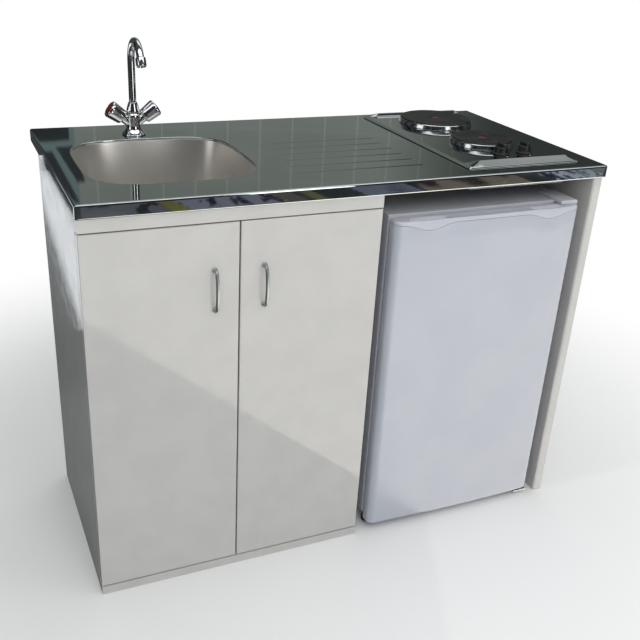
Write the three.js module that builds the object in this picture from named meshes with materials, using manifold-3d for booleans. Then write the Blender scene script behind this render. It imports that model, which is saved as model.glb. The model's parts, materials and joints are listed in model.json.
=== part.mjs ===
// Kitchenette unit: a steel worktop with a pressed sink and a two-plate hob, on a
// two-door cabinet and an end panel, with a table-top refrigerator in the open bay.
//
// Millimetres, +Z up. Pieces are drawn in bench coordinates: x from the worktop's left
// end, y from its front edge towards the back, z from the floor. The group at the end
// moves the origin to the middle of the footprint.

import * as THREE from 'three';
import { mergeVertices } from 'three/addons/utils/BufferGeometryUtils.js';
import Module from 'manifold-3d';

const wasm = await Module();
wasm.setup();

// ---------------------------------------------------------------- driving dimensions

const WIDTH = 1200; // worktop length
const DEPTH = 600; // worktop depth
const HEIGHT = 900; // floor to worktop
const GAP = 0.3; // joint between pieces that touch
const SHEET = 1.2; // steel sheet of the worktop and bowl
const APRON = 28; // folded edge of the worktop
const HANDLE_REACH = 30; // how far the door handles stand in front of the worktop

const CARCASS_TOP = HEIGHT - APRON - GAP;
const FACE = 1; // plane of the doors and rails, behind the worktop's front edge
const DOOR = { thickness: 18, round: 1.5, gap: 3 };
const CARCASS_FRONT = FACE + DOOR.thickness + 2;
const CARCASS_BACK = 484.5;
const BOARD = 16; // carcass board thickness

const CABINET = { left: 1.5, right: 624.5, railBottom: 846, plinthTop: 21 };
const BACK_PANEL = { y: 478, thickness: 3, top: 820 }; // open above for the tap and pipes
const END_PANEL = { left: 1167, right: 1192, chamfer: 3 };

const BOWL = { x: 233, y: 279, halfX: 178.5, halfY: 177, power: 3.8, depth: 150, flange: 8 };
const WASTE = { hole: 40, flange: 54, body: 37, bore: 34, spigot: 20 };
const DRAINER = { grooves: 6, firstY: 104, pitch: 49, left: 461, slant: 8, right: 776, radius: 12, sink: 9.8 };

const TAP = { x: 222, y: 499, hole: 18, pipe: 8.2, rise: 165, bend: 49, sweep: 160, tilt: 36 };

const HOB = { left: 851, right: 1147, front: 40, back: 560, field: 906, crest: 913, sheet: 1 };
const CUTOUT = { left: 865, right: 1133, front: 55, back: 545 };
const PLATES = { x: 1003, rearY: 447, rearR: 90, frontY: 228, frontR: 72.5, top: 918, ring: 4.6 };
const KNOBS = { y: 127, rearX: 990, frontX: 1054, skirt: 20, body: 15.5 };

const HINGE = { edge: 22, cup: 17.5, depth: 11.5, fromEnd: 95 };
const BOW = { centres: 96, z: 703, fromSplit: 52, foot: 6.5, wide: 5, thick: 3.2 };

const FRIDGE = {
	left: 655, right: 1133, front: 30, back: 450, bottom: 40, top: 805,
	wall: 40, floor: 92, ceiling: 763, rear: 410, humpFront: 300, humpTop: 275,
};
const FRIDGE_DOOR = { front: -14, back: 22, bottom: 21, top: 813, round: 18, crown: 4 };
const FRIDGE_PIVOT = { x: 1120, y: 6, pin: 3 };
const GRIP = { fromCentre: 157, half: 48, y: 1, reach: 11, depth: 7 };
const LINER = 2; // moulded inner walls
const FOOT = { radius: 15, y: 46 };

// --------------------------------------------------------------------------- materials

const material = ( color, roughness, metalness = 0 ) => ( { color, roughness, metalness } );
const STEEL = material( 0x8f9492, 0.15, 1 );
const SATIN_STEEL = material( 0xa9aba9, 0.4, 1 );
const CHROME = material( 0xd8dadb, 0.06, 1 );
const CHIPBOARD = material( 0xb79a6c, 0.85 );
const LAMINATE = material( 0xcbcac5, 0.25 );
const HARDBOARD = material( 0xd9d6cf, 0.7 );
const ENAMEL = material( 0xc8cbd2, 0.35 );
const LINER_PLASTIC = material( 0xe6e8ea, 0.45 );
const WHITE_PLASTIC = material( 0xe2e2e0, 0.5 );
const BLACK_PLASTIC = material( 0x1b1b1c, 0.45 );
const CAST_IRON = material( 0x202122, 0.6, 0.3 );
const GALVANISED = material( 0x9aa0a3, 0.5, 0.9 );
const RUBBER = material( 0xd2d3d4, 0.8 );
const GLASS = material( 0xcfe3e0, 0.05 );
const RED = material( 0xb3202a, 0.35 );
const BLUE = material( 0x2455b0, 0.35 );
const BLACK_PAINT = material( 0x17181a, 0.5 );

// ---------------------------------------------------------------------- solid modelling

// A closed three.js geometry as a solid, turned the right way out.
function solid( geometry ) {

	geometry.deleteAttribute( 'normal' );
	geometry.deleteAttribute( 'uv' );
	const merged = mergeVertices( geometry, 1e-4 );
	const position = merged.attributes.position;
	const corners = [ 0, 1, 2 ].map( () => new THREE.Vector3() );
	const triangles = [];
	let volume = 0;

	for ( let i = 0; i < merged.index.count; i += 3 ) {

		const [ a, b, c ] = [ 0, 1, 2 ].map( ( k ) => merged.index.getX( i + k ) );
		if ( a === b || b === c || c === a ) continue;
		triangles.push( a, b, c );
		[ a, b, c ].forEach( ( v, k ) => corners[ k ].fromBufferAttribute( position, v ) );
		volume += corners[ 0 ].dot( corners[ 1 ].cross( corners[ 2 ] ) );

	}

	if ( volume < 0 ) triangles.reverse();
	return new wasm.Manifold( new wasm.Mesh( {
		numProp: 3,
		vertProperties: new Float32Array( position.array ),
		triVerts: new Uint32Array( triangles ),
	} ) );

}

const join = ( first, ...others ) => others.reduce( ( whole, part ) => whole.add( part ), first );
const cut = ( first, ...others ) => others.reduce( ( whole, part ) => whole.subtract( part ), first );
const common = ( first, ...others ) => others.reduce( ( whole, part ) => whole.intersect( part ), first );

// A box between two opposite corners, given as ranges in any order.
function box( xs, ys, zs ) {

	const size = [ xs, ys, zs ].map( ( [ a, b ] ) => Math.abs( b - a ) );
	const centre = [ xs, ys, zs ].map( ( [ a, b ] ) => ( a + b ) / 2 );
	return solid( new THREE.BoxGeometry( ...size ).translate( ...centre ) );

}

const outline = ( points ) => new THREE.Shape( points.map( ( [ x, y ] ) => new THREE.Vector2( x, y ) ) );

// A rectangle with round corners; the four radii run from the lower left, anticlockwise.
function roundedRectangle( [ x0, x1 ], [ y0, y1 ], radius, steps = 5 ) {

	const radii = Array.isArray( radius ) ? radius : [ radius, radius, radius, radius ];
	const corners = [ [ x0, y0, 180 ], [ x1, y0, 270 ], [ x1, y1, 0 ], [ x0, y1, 90 ] ];
	const points = [];
	corners.forEach( ( [ x, y, start ], k ) => {

		const r = radii[ k ];
		const cx = x + ( x === x0 ? r : - r );
		const cy = y + ( y === y0 ? r : - r );
		for ( let i = 0; i <= steps; i ++ ) {

			const angle = THREE.MathUtils.degToRad( start + 90 * i / steps );
			points.push( [ cx + r * Math.cos( angle ), cy + r * Math.sin( angle ) ] );
			if ( r === 0 ) break;

		}

	} );
	return points;

}

const extrude = ( shape, depth ) => new THREE.ExtrudeGeometry( shape, { depth, bevelEnabled: false } );

// Prisms along each axis: the outline is in (x, y), (x, z) or (y, z).
const prismZ = ( points, [ z0, z1 ] ) => solid( extrude( outline( points ), z1 - z0 ).translate( 0, 0, z0 ) );
const prismY = ( points, [ y0, y1 ] ) =>
	solid( extrude( outline( points ), y1 - y0 ).rotateX( Math.PI / 2 ).translate( 0, y1, 0 ) );
const alongX = new THREE.Matrix4().makeBasis(
	new THREE.Vector3( 0, 1, 0 ), new THREE.Vector3( 0, 0, 1 ), new THREE.Vector3( 1, 0, 0 ) );
const prismX = ( points, [ x0, x1 ] ) =>
	solid( extrude( outline( points ), x1 - x0 ).applyMatrix4( alongX ).translate( x0, 0, 0 ) );

// A board standing in the xz plane with its long edges rounded, front and back.
function door( [ x0, x1 ], [ y0, y1 ], [ z0, z1 ], round ) {

	const shape = outline( [
		[ x0 + round, z0 + round ], [ x1 - round, z0 + round ],
		[ x1 - round, z1 - round ], [ x0 + round, z1 - round ] ] );
	const geometry = new THREE.ExtrudeGeometry( shape, {
		depth: y1 - y0 - 2 * round, bevelThickness: round, bevelSize: round, bevelSegments: 2 } );
	return solid( geometry.rotateX( Math.PI / 2 ).translate( 0, y1 - round, 0 ) );

}

// A profile of [radius, height] pairs turned about a vertical axis.
const lathe = ( profile, sides = 20 ) =>
	new THREE.LatheGeometry( profile.map( ( [ r, h ] ) => new THREE.Vector2( r, h ) ), sides ).rotateX( Math.PI / 2 );
const turned = ( profile, [ x, y, z ], sides ) => solid( lathe( profile, sides ).translate( x, y, z ) );
const rod = ( radius, [ z0, z1 ], [ x, y ], sides = 20 ) =>
	turned( [ [ 0, z0 ], [ radius, z0 ], [ radius, z1 ], [ 0, z1 ] ], [ x, y, 0 ], sides );

// The same, with the profile's axis pointing along a direction from a start point.
function turnedAlong( profile, start, direction, sides = 20 ) {

	const turn = new THREE.Quaternion().setFromUnitVectors( new THREE.Vector3( 0, 0, 1 ), direction );
	return solid( lathe( profile, sides ).applyQuaternion( turn ).translate( start.x, start.y, start.z ) );

}

// A section swept along a curve.
function swept( curve, section, steps ) {

	return solid( new THREE.ExtrudeGeometry( section, { steps, bevelEnabled: false, extrudePath: curve } ) );

}

function ellipse( a, b, sides ) {

	const points = [];
	for ( let i = 0; i < sides; i ++ ) {

		const angle = 2 * Math.PI * i / sides;
		points.push( [ a * Math.cos( angle ), b * Math.sin( angle ) ] );

	}

	return outline( points );

}

// Rings of equally many points, skinned and closed at both ends.
function lofted( rings ) {

	const count = rings[ 0 ].length;
	const vertices = rings.flat();
	const index = [];
	for ( let r = 0; r < rings.length - 1; r ++ ) {

		for ( let i = 0; i < count; i ++ ) {

			const a = r * count + i;
			const b = r * count + ( i + 1 ) % count;
			index.push( a, b, b + count, a, b + count, a + count );

		}

	}

	for ( const r of [ 0, rings.length - 1 ] ) {

		const hub = vertices.length;
		const middle = new THREE.Vector3();
		rings[ r ].forEach( ( p ) => middle.addScaledVector( p, 1 / count ) );
		vertices.push( middle );
		for ( let i = 0; i < count; i ++ ) {

			const pair = [ r * count + i, r * count + ( i + 1 ) % count ];
			index.push( hub, ...( r === 0 ? pair.reverse() : pair ) );

		}

	}

	const geometry = new THREE.BufferGeometry().setFromPoints( vertices );
	geometry.setIndex( index );
	return solid( geometry );

}

// Meshes are collected in one group; a name is the name of the piece.
const unit = new THREE.Group();

function add( name, shape, { color, roughness, metalness } ) {

	const { vertProperties, triVerts } = shape.getMesh();
	const geometry = new THREE.BufferGeometry();
	geometry.setAttribute( 'position', new THREE.BufferAttribute( vertProperties, 3 ) );
	geometry.setIndex( new THREE.BufferAttribute( triVerts, 1 ) );
	const mesh = new THREE.Mesh( geometry, new THREE.MeshStandardMaterial( { color, roughness, metalness } ) );
	mesh.name = name;
	unit.add( mesh );

}

// ------------------------------------------------------------------------------ worktop

const ringAt = ( points, z ) => points.map( ( [ x, y ] ) => new THREE.Vector3( x, y, z ) );

// The pressed worktop as a block: upright apron, then a rolled top edge.
function worktopBlock( inset, top ) {

	const roll = 4;
	const level = ( extra, z ) => ringAt( roundedRectangle(
		[ inset + extra, WIDTH - inset - extra ], [ inset + extra, DEPTH - inset - extra ], 3, 2 ), z );
	return lofted( [
		level( 0, HEIGHT - APRON - inset ),
		level( 0, top - roll ),
		level( roll * 0.13, top - roll / 2 ),
		level( roll * 0.5, top - roll * 0.13 ),
		level( roll, top ),
	] );

}

// The bowl's outline is a soft square; the grow value moves it out or in.
function bowlOutline( grow, power = BOWL.power, sides = 32 ) {

	const points = [];
	for ( let i = 0; i < sides; i ++ ) {

		const angle = 2 * Math.PI * i / sides;
		const across = Math.abs( Math.cos( angle ) / ( BOWL.halfX + grow ) ) ** power;
		const along = Math.abs( Math.sin( angle ) / ( BOWL.halfY + grow ) ) ** power;
		const radius = ( across + along ) ** ( - 1 / power );
		points.push( [ BOWL.x + radius * Math.cos( angle ), BOWL.y + radius * Math.sin( angle ) ] );

	}

	return points;

}

// One drainer groove, as a round bar laid along x that presses into the sheet.
function grooveBar( row, swell ) {

	const y = DRAINER.firstY + row * DRAINER.pitch;
	const start = DRAINER.left + row * DRAINER.slant - swell;
	const end = DRAINER.right + swell;
	const radius = DRAINER.radius + swell;
	const taper = 12;
	const profile = [ [ 0, 0 ], [ radius - 2.4, 0 ], [ radius, taper ],
		[ radius, end - start - taper ], [ radius - 2.4, end - start ], [ 0, end - start ] ];
	return turnedAlong( profile, new THREE.Vector3( start, y, HEIGHT + DRAINER.sink ), new THREE.Vector3( 1, 0, 0 ), 16 );

}

const rows = [ ...Array( DRAINER.grooves ).keys() ];
const drainerZone = box( [ 0, WIDTH ], [ 0, DEPTH ], [ HEIGHT - 5, HEIGHT - SHEET / 2 ] );
const ribs = rows.map( ( row ) => common( grooveBar( row, SHEET ), drainerZone ) );
const hobHole = prismZ( roundedRectangle( [ CUTOUT.left, CUTOUT.right ], [ CUTOUT.front, CUTOUT.back ], 12, 3 ),
	[ HEIGHT - APRON - 5, HEIGHT + 5 ] );

add( 'worktop', cut(
	join( cut( worktopBlock( 0, HEIGHT ), worktopBlock( SHEET, HEIGHT - SHEET ) ), ...ribs ),
	...rows.map( ( row ) => grooveBar( row, 0 ) ),
	prismZ( bowlOutline( 0 ), [ HEIGHT - 10, HEIGHT + 5 ] ),
	hobHole,
	rod( TAP.hole, [ HEIGHT - 10, HEIGHT + 5 ], [ TAP.x, TAP.y ] ),
), STEEL );

const pocket = box(
	[ DRAINER.left - 12, DRAINER.right + 12 ],
	[ DRAINER.firstY - 20, DRAINER.firstY + ( DRAINER.grooves - 1 ) * DRAINER.pitch + 20 ],
	[ HEIGHT - 6, HEIGHT ] );

add( 'worktop_core', cut(
	prismZ( roundedRectangle( [ SHEET + GAP, WIDTH - SHEET - GAP ], [ SHEET + GAP, DEPTH - SHEET - GAP ], 4, 1 ),
		[ HEIGHT - APRON + GAP, HEIGHT - SHEET - GAP ] ),
	box( [ 0, WIDTH ], [ 0, 5 ], [ HEIGHT - 8, HEIGHT ] ),
	box( [ 0, WIDTH ], [ DEPTH - 5, DEPTH ], [ HEIGHT - 8, HEIGHT ] ),
	box( [ 0, 5 ], [ 0, DEPTH ], [ HEIGHT - 8, HEIGHT ] ),
	box( [ WIDTH - 5, WIDTH ], [ 0, DEPTH ], [ HEIGHT - 8, HEIGHT ] ),
	pocket,
	prismZ( bowlOutline( BOWL.flange + 3 ), [ HEIGHT - 40, HEIGHT + 5 ] ),
	hobHole,
	rod( TAP.hole + 1, [ HEIGHT - 40, HEIGHT + 5 ], [ TAP.x, TAP.y ], 12 ),
), CHIPBOARD );

// --------------------------------------------------------------------- sink and its waste

// The bowl is pressed: a flat flange under the sheet, a rolled lip, nearly straight
// sides, a wide radius at the foot and a bottom that falls to the waste.
const LIP = HEIGHT - SHEET - GAP;
const BOWL_FLOOR = HEIGHT - BOWL.depth;
const bowlRows = [
	[ - 0.5, LIP + 2, 3.8 ], [ - 0.5, LIP, 3.8 ], [ - 2.5, LIP - 5, 3.8 ], [ - 6, LIP - 16, 3.8 ],
	[ - 15, BOWL_FLOOR + 42, 3.6 ], [ - 20, BOWL_FLOOR + 22, 3.4 ], [ - 30, BOWL_FLOOR + 8, 3.2 ],
	[ - 52, BOWL_FLOOR + 1, 2.8 ], [ - 119, BOWL_FLOOR - 2, 2 ],
];
const bowlRing = ( [ grow, z, power ], swell, drop ) => ringAt( bowlOutline( grow + swell, power ), z - drop );
const bowlInside = lofted( bowlRows.map( ( row ) => bowlRing( row, 0, 0 ) ) );
const bowlOutside = lofted( bowlRows.slice( 1 ).map( ( row ) => bowlRing( row, SHEET, row === bowlRows[ 1 ] ? 0 : SHEET ) ) );
const wasteHole = rod( WASTE.hole, [ BOWL_FLOOR - 20, BOWL_FLOOR + 20 ], [ BOWL.x, BOWL.y ] );

add( 'sink_bowl', cut(
	join( prismZ( bowlOutline( BOWL.flange ), [ LIP - SHEET, LIP ] ), bowlOutside ),
	bowlInside,
	wasteHole,
), SATIN_STEEL );

const WASTE_TOP = BOWL_FLOOR - 2; // the bottom's surface round the waste
const wasteShape = turned( [
	[ 0, - 70 ], [ WASTE.spigot, - 70 ], [ WASTE.spigot, - 42 ], [ WASTE.body, - 36 ], [ WASTE.body, GAP ],
	[ WASTE.flange, GAP ], [ WASTE.flange - 1.5, 2 ], [ 0, 2 ],
], [ BOWL.x, BOWL.y, WASTE_TOP ], 18 );
const wasteBore = turned( [
	[ 0, - 75 ], [ WASTE.spigot - 2.5, - 75 ], [ WASTE.spigot - 2.5, - 40 ],
	[ WASTE.bore, - 33 ], [ WASTE.bore, - 3 ], [ WASTE.bore + 5, 4 ], [ 0, 4 ],
], [ BOWL.x, BOWL.y, WASTE_TOP ], 18 );
add( 'sink_waste', cut( wasteShape, wasteBore ), CHROME );

// The strainer is a cup that hangs in the waste by its rim and lifts out by its knob.
const strainerCup = turned( [
	[ 0, - 27 ], [ 28, - 27 ], [ 32.5, - 3 ], [ 36.5, 1 ], [ 36.5, 2.2 ],
	[ 31.5, - 1.8 ], [ 27, - 25.5 ], [ 3, - 25.5 ], [ 3, - 8 ], [ 7, - 5 ], [ 6, - 1 ], [ 0, - 1 ],
], [ BOWL.x, BOWL.y, WASTE_TOP ], 18 );
const strainerHoles = [ ...Array( 6 ).keys() ].map( ( k ) => {

	const angle = 2 * Math.PI * k / 6;
	return rod( 3, [ WASTE_TOP - 30, WASTE_TOP - 20 ],
		[ BOWL.x + 15 * Math.cos( angle ), BOWL.y + 15 * Math.sin( angle ) ], 6 );

} );
add( 'waste_strainer', cut( strainerCup, ...strainerHoles ), CHROME );

// Bottle trap: union nut, bottle and an outlet that runs back through the rear cut-out.
const TRAP_TOP = WASTE_TOP - 70 - GAP;
add( 'waste_trap', join(
	turned( [ [ 0, - 112 ], [ 26, - 112 ], [ 31, - 106 ], [ 31, - 90 ], [ 34, - 90 ], [ 34, - 76 ], [ 31, - 76 ],
		[ 31, - 30 ], [ 22, - 22 ], [ 27, - 22 ], [ 27, 0 ], [ 0, 0 ] ],
	[ BOWL.x, BOWL.y, TRAP_TOP ], 14 ),
	turnedAlong( [ [ 0, 0 ], [ 16, 0 ], [ 16, 34 ], [ 22, 36 ], [ 22, 52 ], [ 16, 54 ], [ 16, 190 ], [ 0, 190 ] ],
		new THREE.Vector3( BOWL.x, BOWL.y, TRAP_TOP - 50 ), new THREE.Vector3( 0, 1, 0 ), 10 ),
), WHITE_PLASTIC );

// ------------------------------------------------------------------------------- mixer tap

const tapAt = ( z ) => [ TAP.x, TAP.y, HEIGHT + z ];
const tilt = THREE.MathUtils.degToRad( TAP.tilt );
const VALVE_Z = 22; // height of the point where the two valve axes meet
const VALVE_FACE = 31; // from there out to the foot of each handle
const TAP_BODY_TOP = 50;
const valveAxis = ( side ) => new THREE.Vector3( side * Math.cos( tilt ), 0, Math.sin( tilt ) );
const valveCentre = new THREE.Vector3( ...tapAt( VALVE_Z ) );

add( 'tap_body', join(
	turned( [ [ 0, GAP ], [ 27, GAP ], [ 27, 2.5 ], [ 22.5, 6.5 ], [ 17, 14 ], [ 15.5, 22 ], [ 17, 37 ], [ 17, 44 ],
		[ 14, TAP_BODY_TOP ], [ 0, TAP_BODY_TOP ] ], tapAt( 0 ), 20 ),
	...[ - 1, 1 ].map( ( side ) => turnedAlong(
		[ [ 0, 8 ], [ 11, 8 ], [ 11, VALVE_FACE - GAP ], [ 0, VALVE_FACE - GAP ] ],
		valveCentre, valveAxis( side ), 12 ) ),
	rod( 16, [ HEIGHT - 52, HEIGHT + 1 ], [ TAP.x, TAP.y ], 10 ),
	rod( 25, [ HEIGHT - APRON - 8, HEIGHT - APRON ], [ TAP.x, TAP.y ], 6 ),
), CHROME );

// Each handle is a cone with six shallow flutes and a seat for its coloured cap.
function tapHandle( side ) {

	const start = valveCentre.clone().addScaledVector( valveAxis( side ), VALVE_FACE );
	const cone = turnedAlong( [ [ 0, 0 ], [ 15.5, 0 ], [ 16.8, 1.5 ], [ 19.6, 27 ], [ 19.6, 31 ], [ 17.5, 34 ],
		[ 0, 34 ] ], start, valveAxis( side ), 24 );
	const seat = turnedAlong( [ [ 0, 32.6 ], [ 14.3, 32.6 ], [ 14.3, 40 ], [ 0, 40 ] ], start, valveAxis( side ) );
	const right = new THREE.Vector3( 0, 1, 0 );
	const up = right.clone().cross( valveAxis( side ) );
	const flutes = [ ...Array( 6 ).keys() ].map( ( k ) => {

		const angle = 2 * Math.PI * ( k + 0.5 ) / 6;
		const offset = right.clone().multiplyScalar( 23.2 * Math.cos( angle ) )
			.addScaledVector( up, 23.2 * Math.sin( angle ) );
		return turnedAlong( [ [ 0, 6 ], [ 5, 8 ], [ 5.2, 36 ], [ 0, 36 ] ], start.clone().add( offset ), valveAxis( side ), 8 );

	} );
	return cut( cone, seat, ...flutes );

}

function tapCap( side ) {

	const start = valveCentre.clone().addScaledVector( valveAxis( side ), VALVE_FACE + 32.6 + GAP );
	return turnedAlong( [ [ 0, 0 ], [ 14, 0 ], [ 14, 1.2 ], [ 10, 2.2 ], [ 0, 2.8 ] ], start, valveAxis( side ) );

}

add( 'tap_handle_hot', tapHandle( - 1 ), CHROME );
add( 'tap_handle_cold', tapHandle( 1 ), CHROME );
add( 'tap_cap_hot', tapCap( - 1 ), RED );
add( 'tap_cap_cold', tapCap( 1 ), BLUE );

add( 'tap_collar', turned( [ [ 8.6, 0 ], [ 15, 0 ], [ 15, 6 ], [ 13, 14 ], [ 9.6, 24 ],
	[ 8.6, 24 ], [ 8.6, 0 ] ], tapAt( TAP_BODY_TOP + GAP ) ), CHROME );

// The spout rises, bends over towards the front and ends short of straight down.
const sweepEnd = THREE.MathUtils.degToRad( TAP.sweep );
const bendAt = ( angle ) => new THREE.Vector3(
	TAP.x, TAP.y - TAP.bend + TAP.bend * Math.cos( angle ), HEIGHT + TAP.rise + TAP.bend * Math.sin( angle ) );
const BEND_STEPS = 12;
const spoutPoints = [ new THREE.Vector3( TAP.x, TAP.y, HEIGHT + TAP_BODY_TOP + GAP ) ];
for ( let i = 0; i <= BEND_STEPS; i ++ ) spoutPoints.push( bendAt( sweepEnd * i / BEND_STEPS ) );

// The tube is skinned ring by ring, each ring square to the bend.
const spoutRings = spoutPoints.map( ( centre, i ) => {

	const angle = Math.max( 0, i - 1 ) * sweepEnd / BEND_STEPS;
	const outward = new THREE.Vector3( 0, Math.cos( angle ), Math.sin( angle ) );
	return [ ...Array( 10 ).keys() ].map( ( k ) => {

		const turn = 2 * Math.PI * k / 10;
		return centre.clone().addScaledVector( outward, TAP.pipe * Math.cos( turn ) )
			.add( new THREE.Vector3( TAP.pipe * Math.sin( turn ), 0, 0 ) );

	} );

} );
add( 'tap_spout', lofted( spoutRings ), CHROME );

const spoutTip = bendAt( sweepEnd );
const spoutWay = new THREE.Vector3( 0, - Math.sin( sweepEnd ), Math.cos( sweepEnd ) );
add( 'tap_aerator', turnedAlong( [ [ 8.6, - 2 ], [ 10, - 2 ], [ 11.2, 0 ], [ 11.4, 16 ], [ 10.6, 18 ],
	[ 0, 18 ], [ 0, GAP ], [ 8.6, GAP ], [ 8.6, - 2 ] ], spoutTip, spoutWay ), CHROME );

// ---------------------------------------------------------------------------------- hob

// The pan's pressing: a flat field with a ridge along the front and the back, each
// falling away at its ends, and plain bevelled sides. Sunk by the sheet it is the inside.
function hobRoof( sunk ) {

	const { left, right, front, back, field, crest } = HOB;
	const top = ( z ) => z - sunk;
	const section = [
		[ front + sunk, HEIGHT + GAP - sunk * 2 ], [ back - sunk, HEIGHT + GAP - sunk * 2 ],
		[ back - sunk, top( field - 1 ) ], [ back - 6, top( crest ) ], [ back - 9, top( crest ) ],
		[ back - 17, top( field ) ], [ front + 34, top( field ) ],
		[ front + 28, top( crest ) ], [ front + 24, top( crest ) ], [ front + sunk, top( field - 2 ) ],
	];
	const sides = [
		[ left + sunk, HEIGHT - sunk * 2 ], [ right - sunk, HEIGHT - sunk * 2 ],
		[ right - sunk, top( HEIGHT + 2 ) ], [ right - 6, top( field + 0.3 ) ], [ right - 24, top( crest + 0.4 ) ],
		[ left + 40, top( crest + 0.4 ) ], [ left + 6, top( field + 0.3 ) ], [ left + sunk, top( HEIGHT + 2 ) ],
	];
	return common( prismX( section, [ left + sunk, right - sunk ] ), prismY( sides, [ front, back ] ) );

}

const knobHoles = [ KNOBS.rearX, KNOBS.frontX ].map( ( x ) => rod( 4, [ HEIGHT - 5, HEIGHT + 20 ], [ x, KNOBS.y ], 12 ) );
add( 'hob_pan', cut(
	hobRoof( 0 ),
	hobRoof( HOB.sheet ),
	rod( PLATES.rearR - 5, [ HEIGHT - 5, HEIGHT + 20 ], [ PLATES.x, PLATES.rearY ], 24 ),
	rod( PLATES.frontR - 5, [ HEIGHT - 5, HEIGHT + 20 ], [ PLATES.x, PLATES.frontY ], 24 ),
	...knobHoles,
), STEEL );

// The tray hangs in the cut-out and closes the hob from below.
const trayTop = HOB.field - HOB.sheet - GAP;
add( 'hob_box', cut(
	prismZ( roundedRectangle( [ CUTOUT.left + 2, CUTOUT.right - 2 ], [ CUTOUT.front + 2, CUTOUT.back - 2 ], 8, 2 ),
		[ 850, trayTop ] ),
	prismZ( roundedRectangle( [ CUTOUT.left + 3, CUTOUT.right - 3 ], [ CUTOUT.front + 3, CUTOUT.back - 3 ], 7, 2 ),
		[ 851, trayTop + 1 ] ),
), GALVANISED );

// Cast plate: heavy rim, a stepped skirt below the pan and a dished centre.
function hotplate( radius ) {

	return [ [ 0, - 17 ], [ radius - 8, - 17 ], [ radius - 8, - 11 ], [ radius, - 11 ], [ radius, - 1.5 ],
		[ radius - 1.5, 0 ], [ 20, 0 ], [ 14, - 1.2 ], [ 0, - 1.2 ] ];

}

function hotplateRing( radius ) {

	const low = HOB.field + GAP - PLATES.top;
	return [ [ radius + 0.5, low ], [ radius + PLATES.ring, low ], [ radius + PLATES.ring, low + 2 ],
		[ radius + 2.4, - 3 ], [ radius + 0.5, - 2.6 ], [ radius + 0.5, low ] ];

}

for ( const [ name, y, radius ] of [ [ 'rear', PLATES.rearY, PLATES.rearR ], [ 'front', PLATES.frontY, PLATES.frontR ] ] ) {

	add( `hotplate_${ name }`, turned( hotplate( radius ), [ PLATES.x, y, PLATES.top ], 32 ), CAST_IRON );
	add( `hotplate_ring_${ name }`, turned( hotplateRing( radius ), [ PLATES.x, y, PLATES.top ], 32 ), CHROME );

}

// Control knob: skirt, round body and a raised finger bar, on its spindle.
function hobKnob( x ) {

	const base = HOB.field + GAP;
	const bar = prismZ( roundedRectangle( [ x - 5, x + 5 ], [ KNOBS.y - 14.5, KNOBS.y + 14.5 ], 4, 2 ),
		[ base + 14, base + 24 ] );
	const body = turned( [ [ 0, 0 ], [ KNOBS.skirt, 0 ], [ KNOBS.skirt, 2 ],
		[ KNOBS.body + 0.5, 4 ], [ KNOBS.body, 15 ], [ KNOBS.body - 1.5, 17 ], [ 0, 17 ] ], [ x, KNOBS.y, base ] );
	return join( body, bar, rod( 3, [ HEIGHT - 4, base + 1 ], [ x, KNOBS.y ], 8 ) );

}

add( 'hob_knob_rear', hobKnob( KNOBS.rearX ), BLACK_PLASTIC );
add( 'hob_knob_front', hobKnob( KNOBS.frontX ), BLACK_PLASTIC );

// ------------------------------------------------------------------------------- cabinet

const SIDES = { left: - 1, right: 1 };
// x at a distance in from the cabinet's outer face, on either side.
const inFrom = ( side, distance ) => ( side < 0 ? CABINET.left + distance : CABINET.right - distance );
const inner = [ CABINET.left + BOARD + GAP, CABINET.right - BOARD - GAP ];
const full = [ CABINET.left, CABINET.right ];
const railDepth = [ FACE, CARCASS_FRONT - GAP ];

for ( const [ name, side ] of Object.entries( SIDES ) ) {

	add( `cabinet_side_${ name }`, box(
		[ inFrom( side, 0 ), inFrom( side, BOARD ) ], [ CARCASS_FRONT, CARCASS_BACK ], [ 0, CARCASS_TOP ] ), LAMINATE );

}

add( 'cabinet_rail_front', box( full, railDepth, [ CABINET.railBottom, CARCASS_TOP ] ), LAMINATE );
add( 'cabinet_plinth', box( full, railDepth, [ 0, CABINET.plinthTop ] ), LAMINATE );
add( 'cabinet_bottom', box( inner, [ CARCASS_FRONT, BACK_PANEL.y - GAP ],
	[ CABINET.plinthTop + GAP, CABINET.plinthTop + GAP + BOARD ] ), LAMINATE );
add( 'cabinet_rail_rear', box( inner, [ BACK_PANEL.y - GAP - BOARD, BACK_PANEL.y - GAP ],
	[ BACK_PANEL.top - 80, BACK_PANEL.top ] ), LAMINATE );

const SERVICE = { x: [ 163, 463 ], z: [ 480, 740 ] }; // opening for pipes in the back
add( 'cabinet_back', cut(
	box( inner, [ BACK_PANEL.y, BACK_PANEL.y + BACK_PANEL.thickness ], [ CABINET.plinthTop + GAP, BACK_PANEL.top ] ),
	prismY( roundedRectangle( SERVICE.x, SERVICE.z, 25, 3 ), [ BACK_PANEL.y - 5, BACK_PANEL.y + 10 ] ),
), HARDBOARD );

// ------------------------------------------------------------------- doors and hardware

const SPLIT = ( CABINET.left + CABINET.right ) / 2;
const doorZ = [ CABINET.plinthTop + DOOR.gap, CABINET.railBottom - DOOR.gap ];
const doorY = [ FACE, FACE + DOOR.thickness ];
const hingeHeights = { bottom: doorZ[ 0 ] + HINGE.fromEnd, top: doorZ[ 1 ] - HINGE.fromEnd };

// A turned shape whose axis points to the front, starting at a point on the door's back.
const turnedForward = ( profile, x, y, z, sides ) =>
	turnedAlong( profile, new THREE.Vector3( x, y, z ), new THREE.Vector3( 0, - 1, 0 ), sides );

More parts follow.
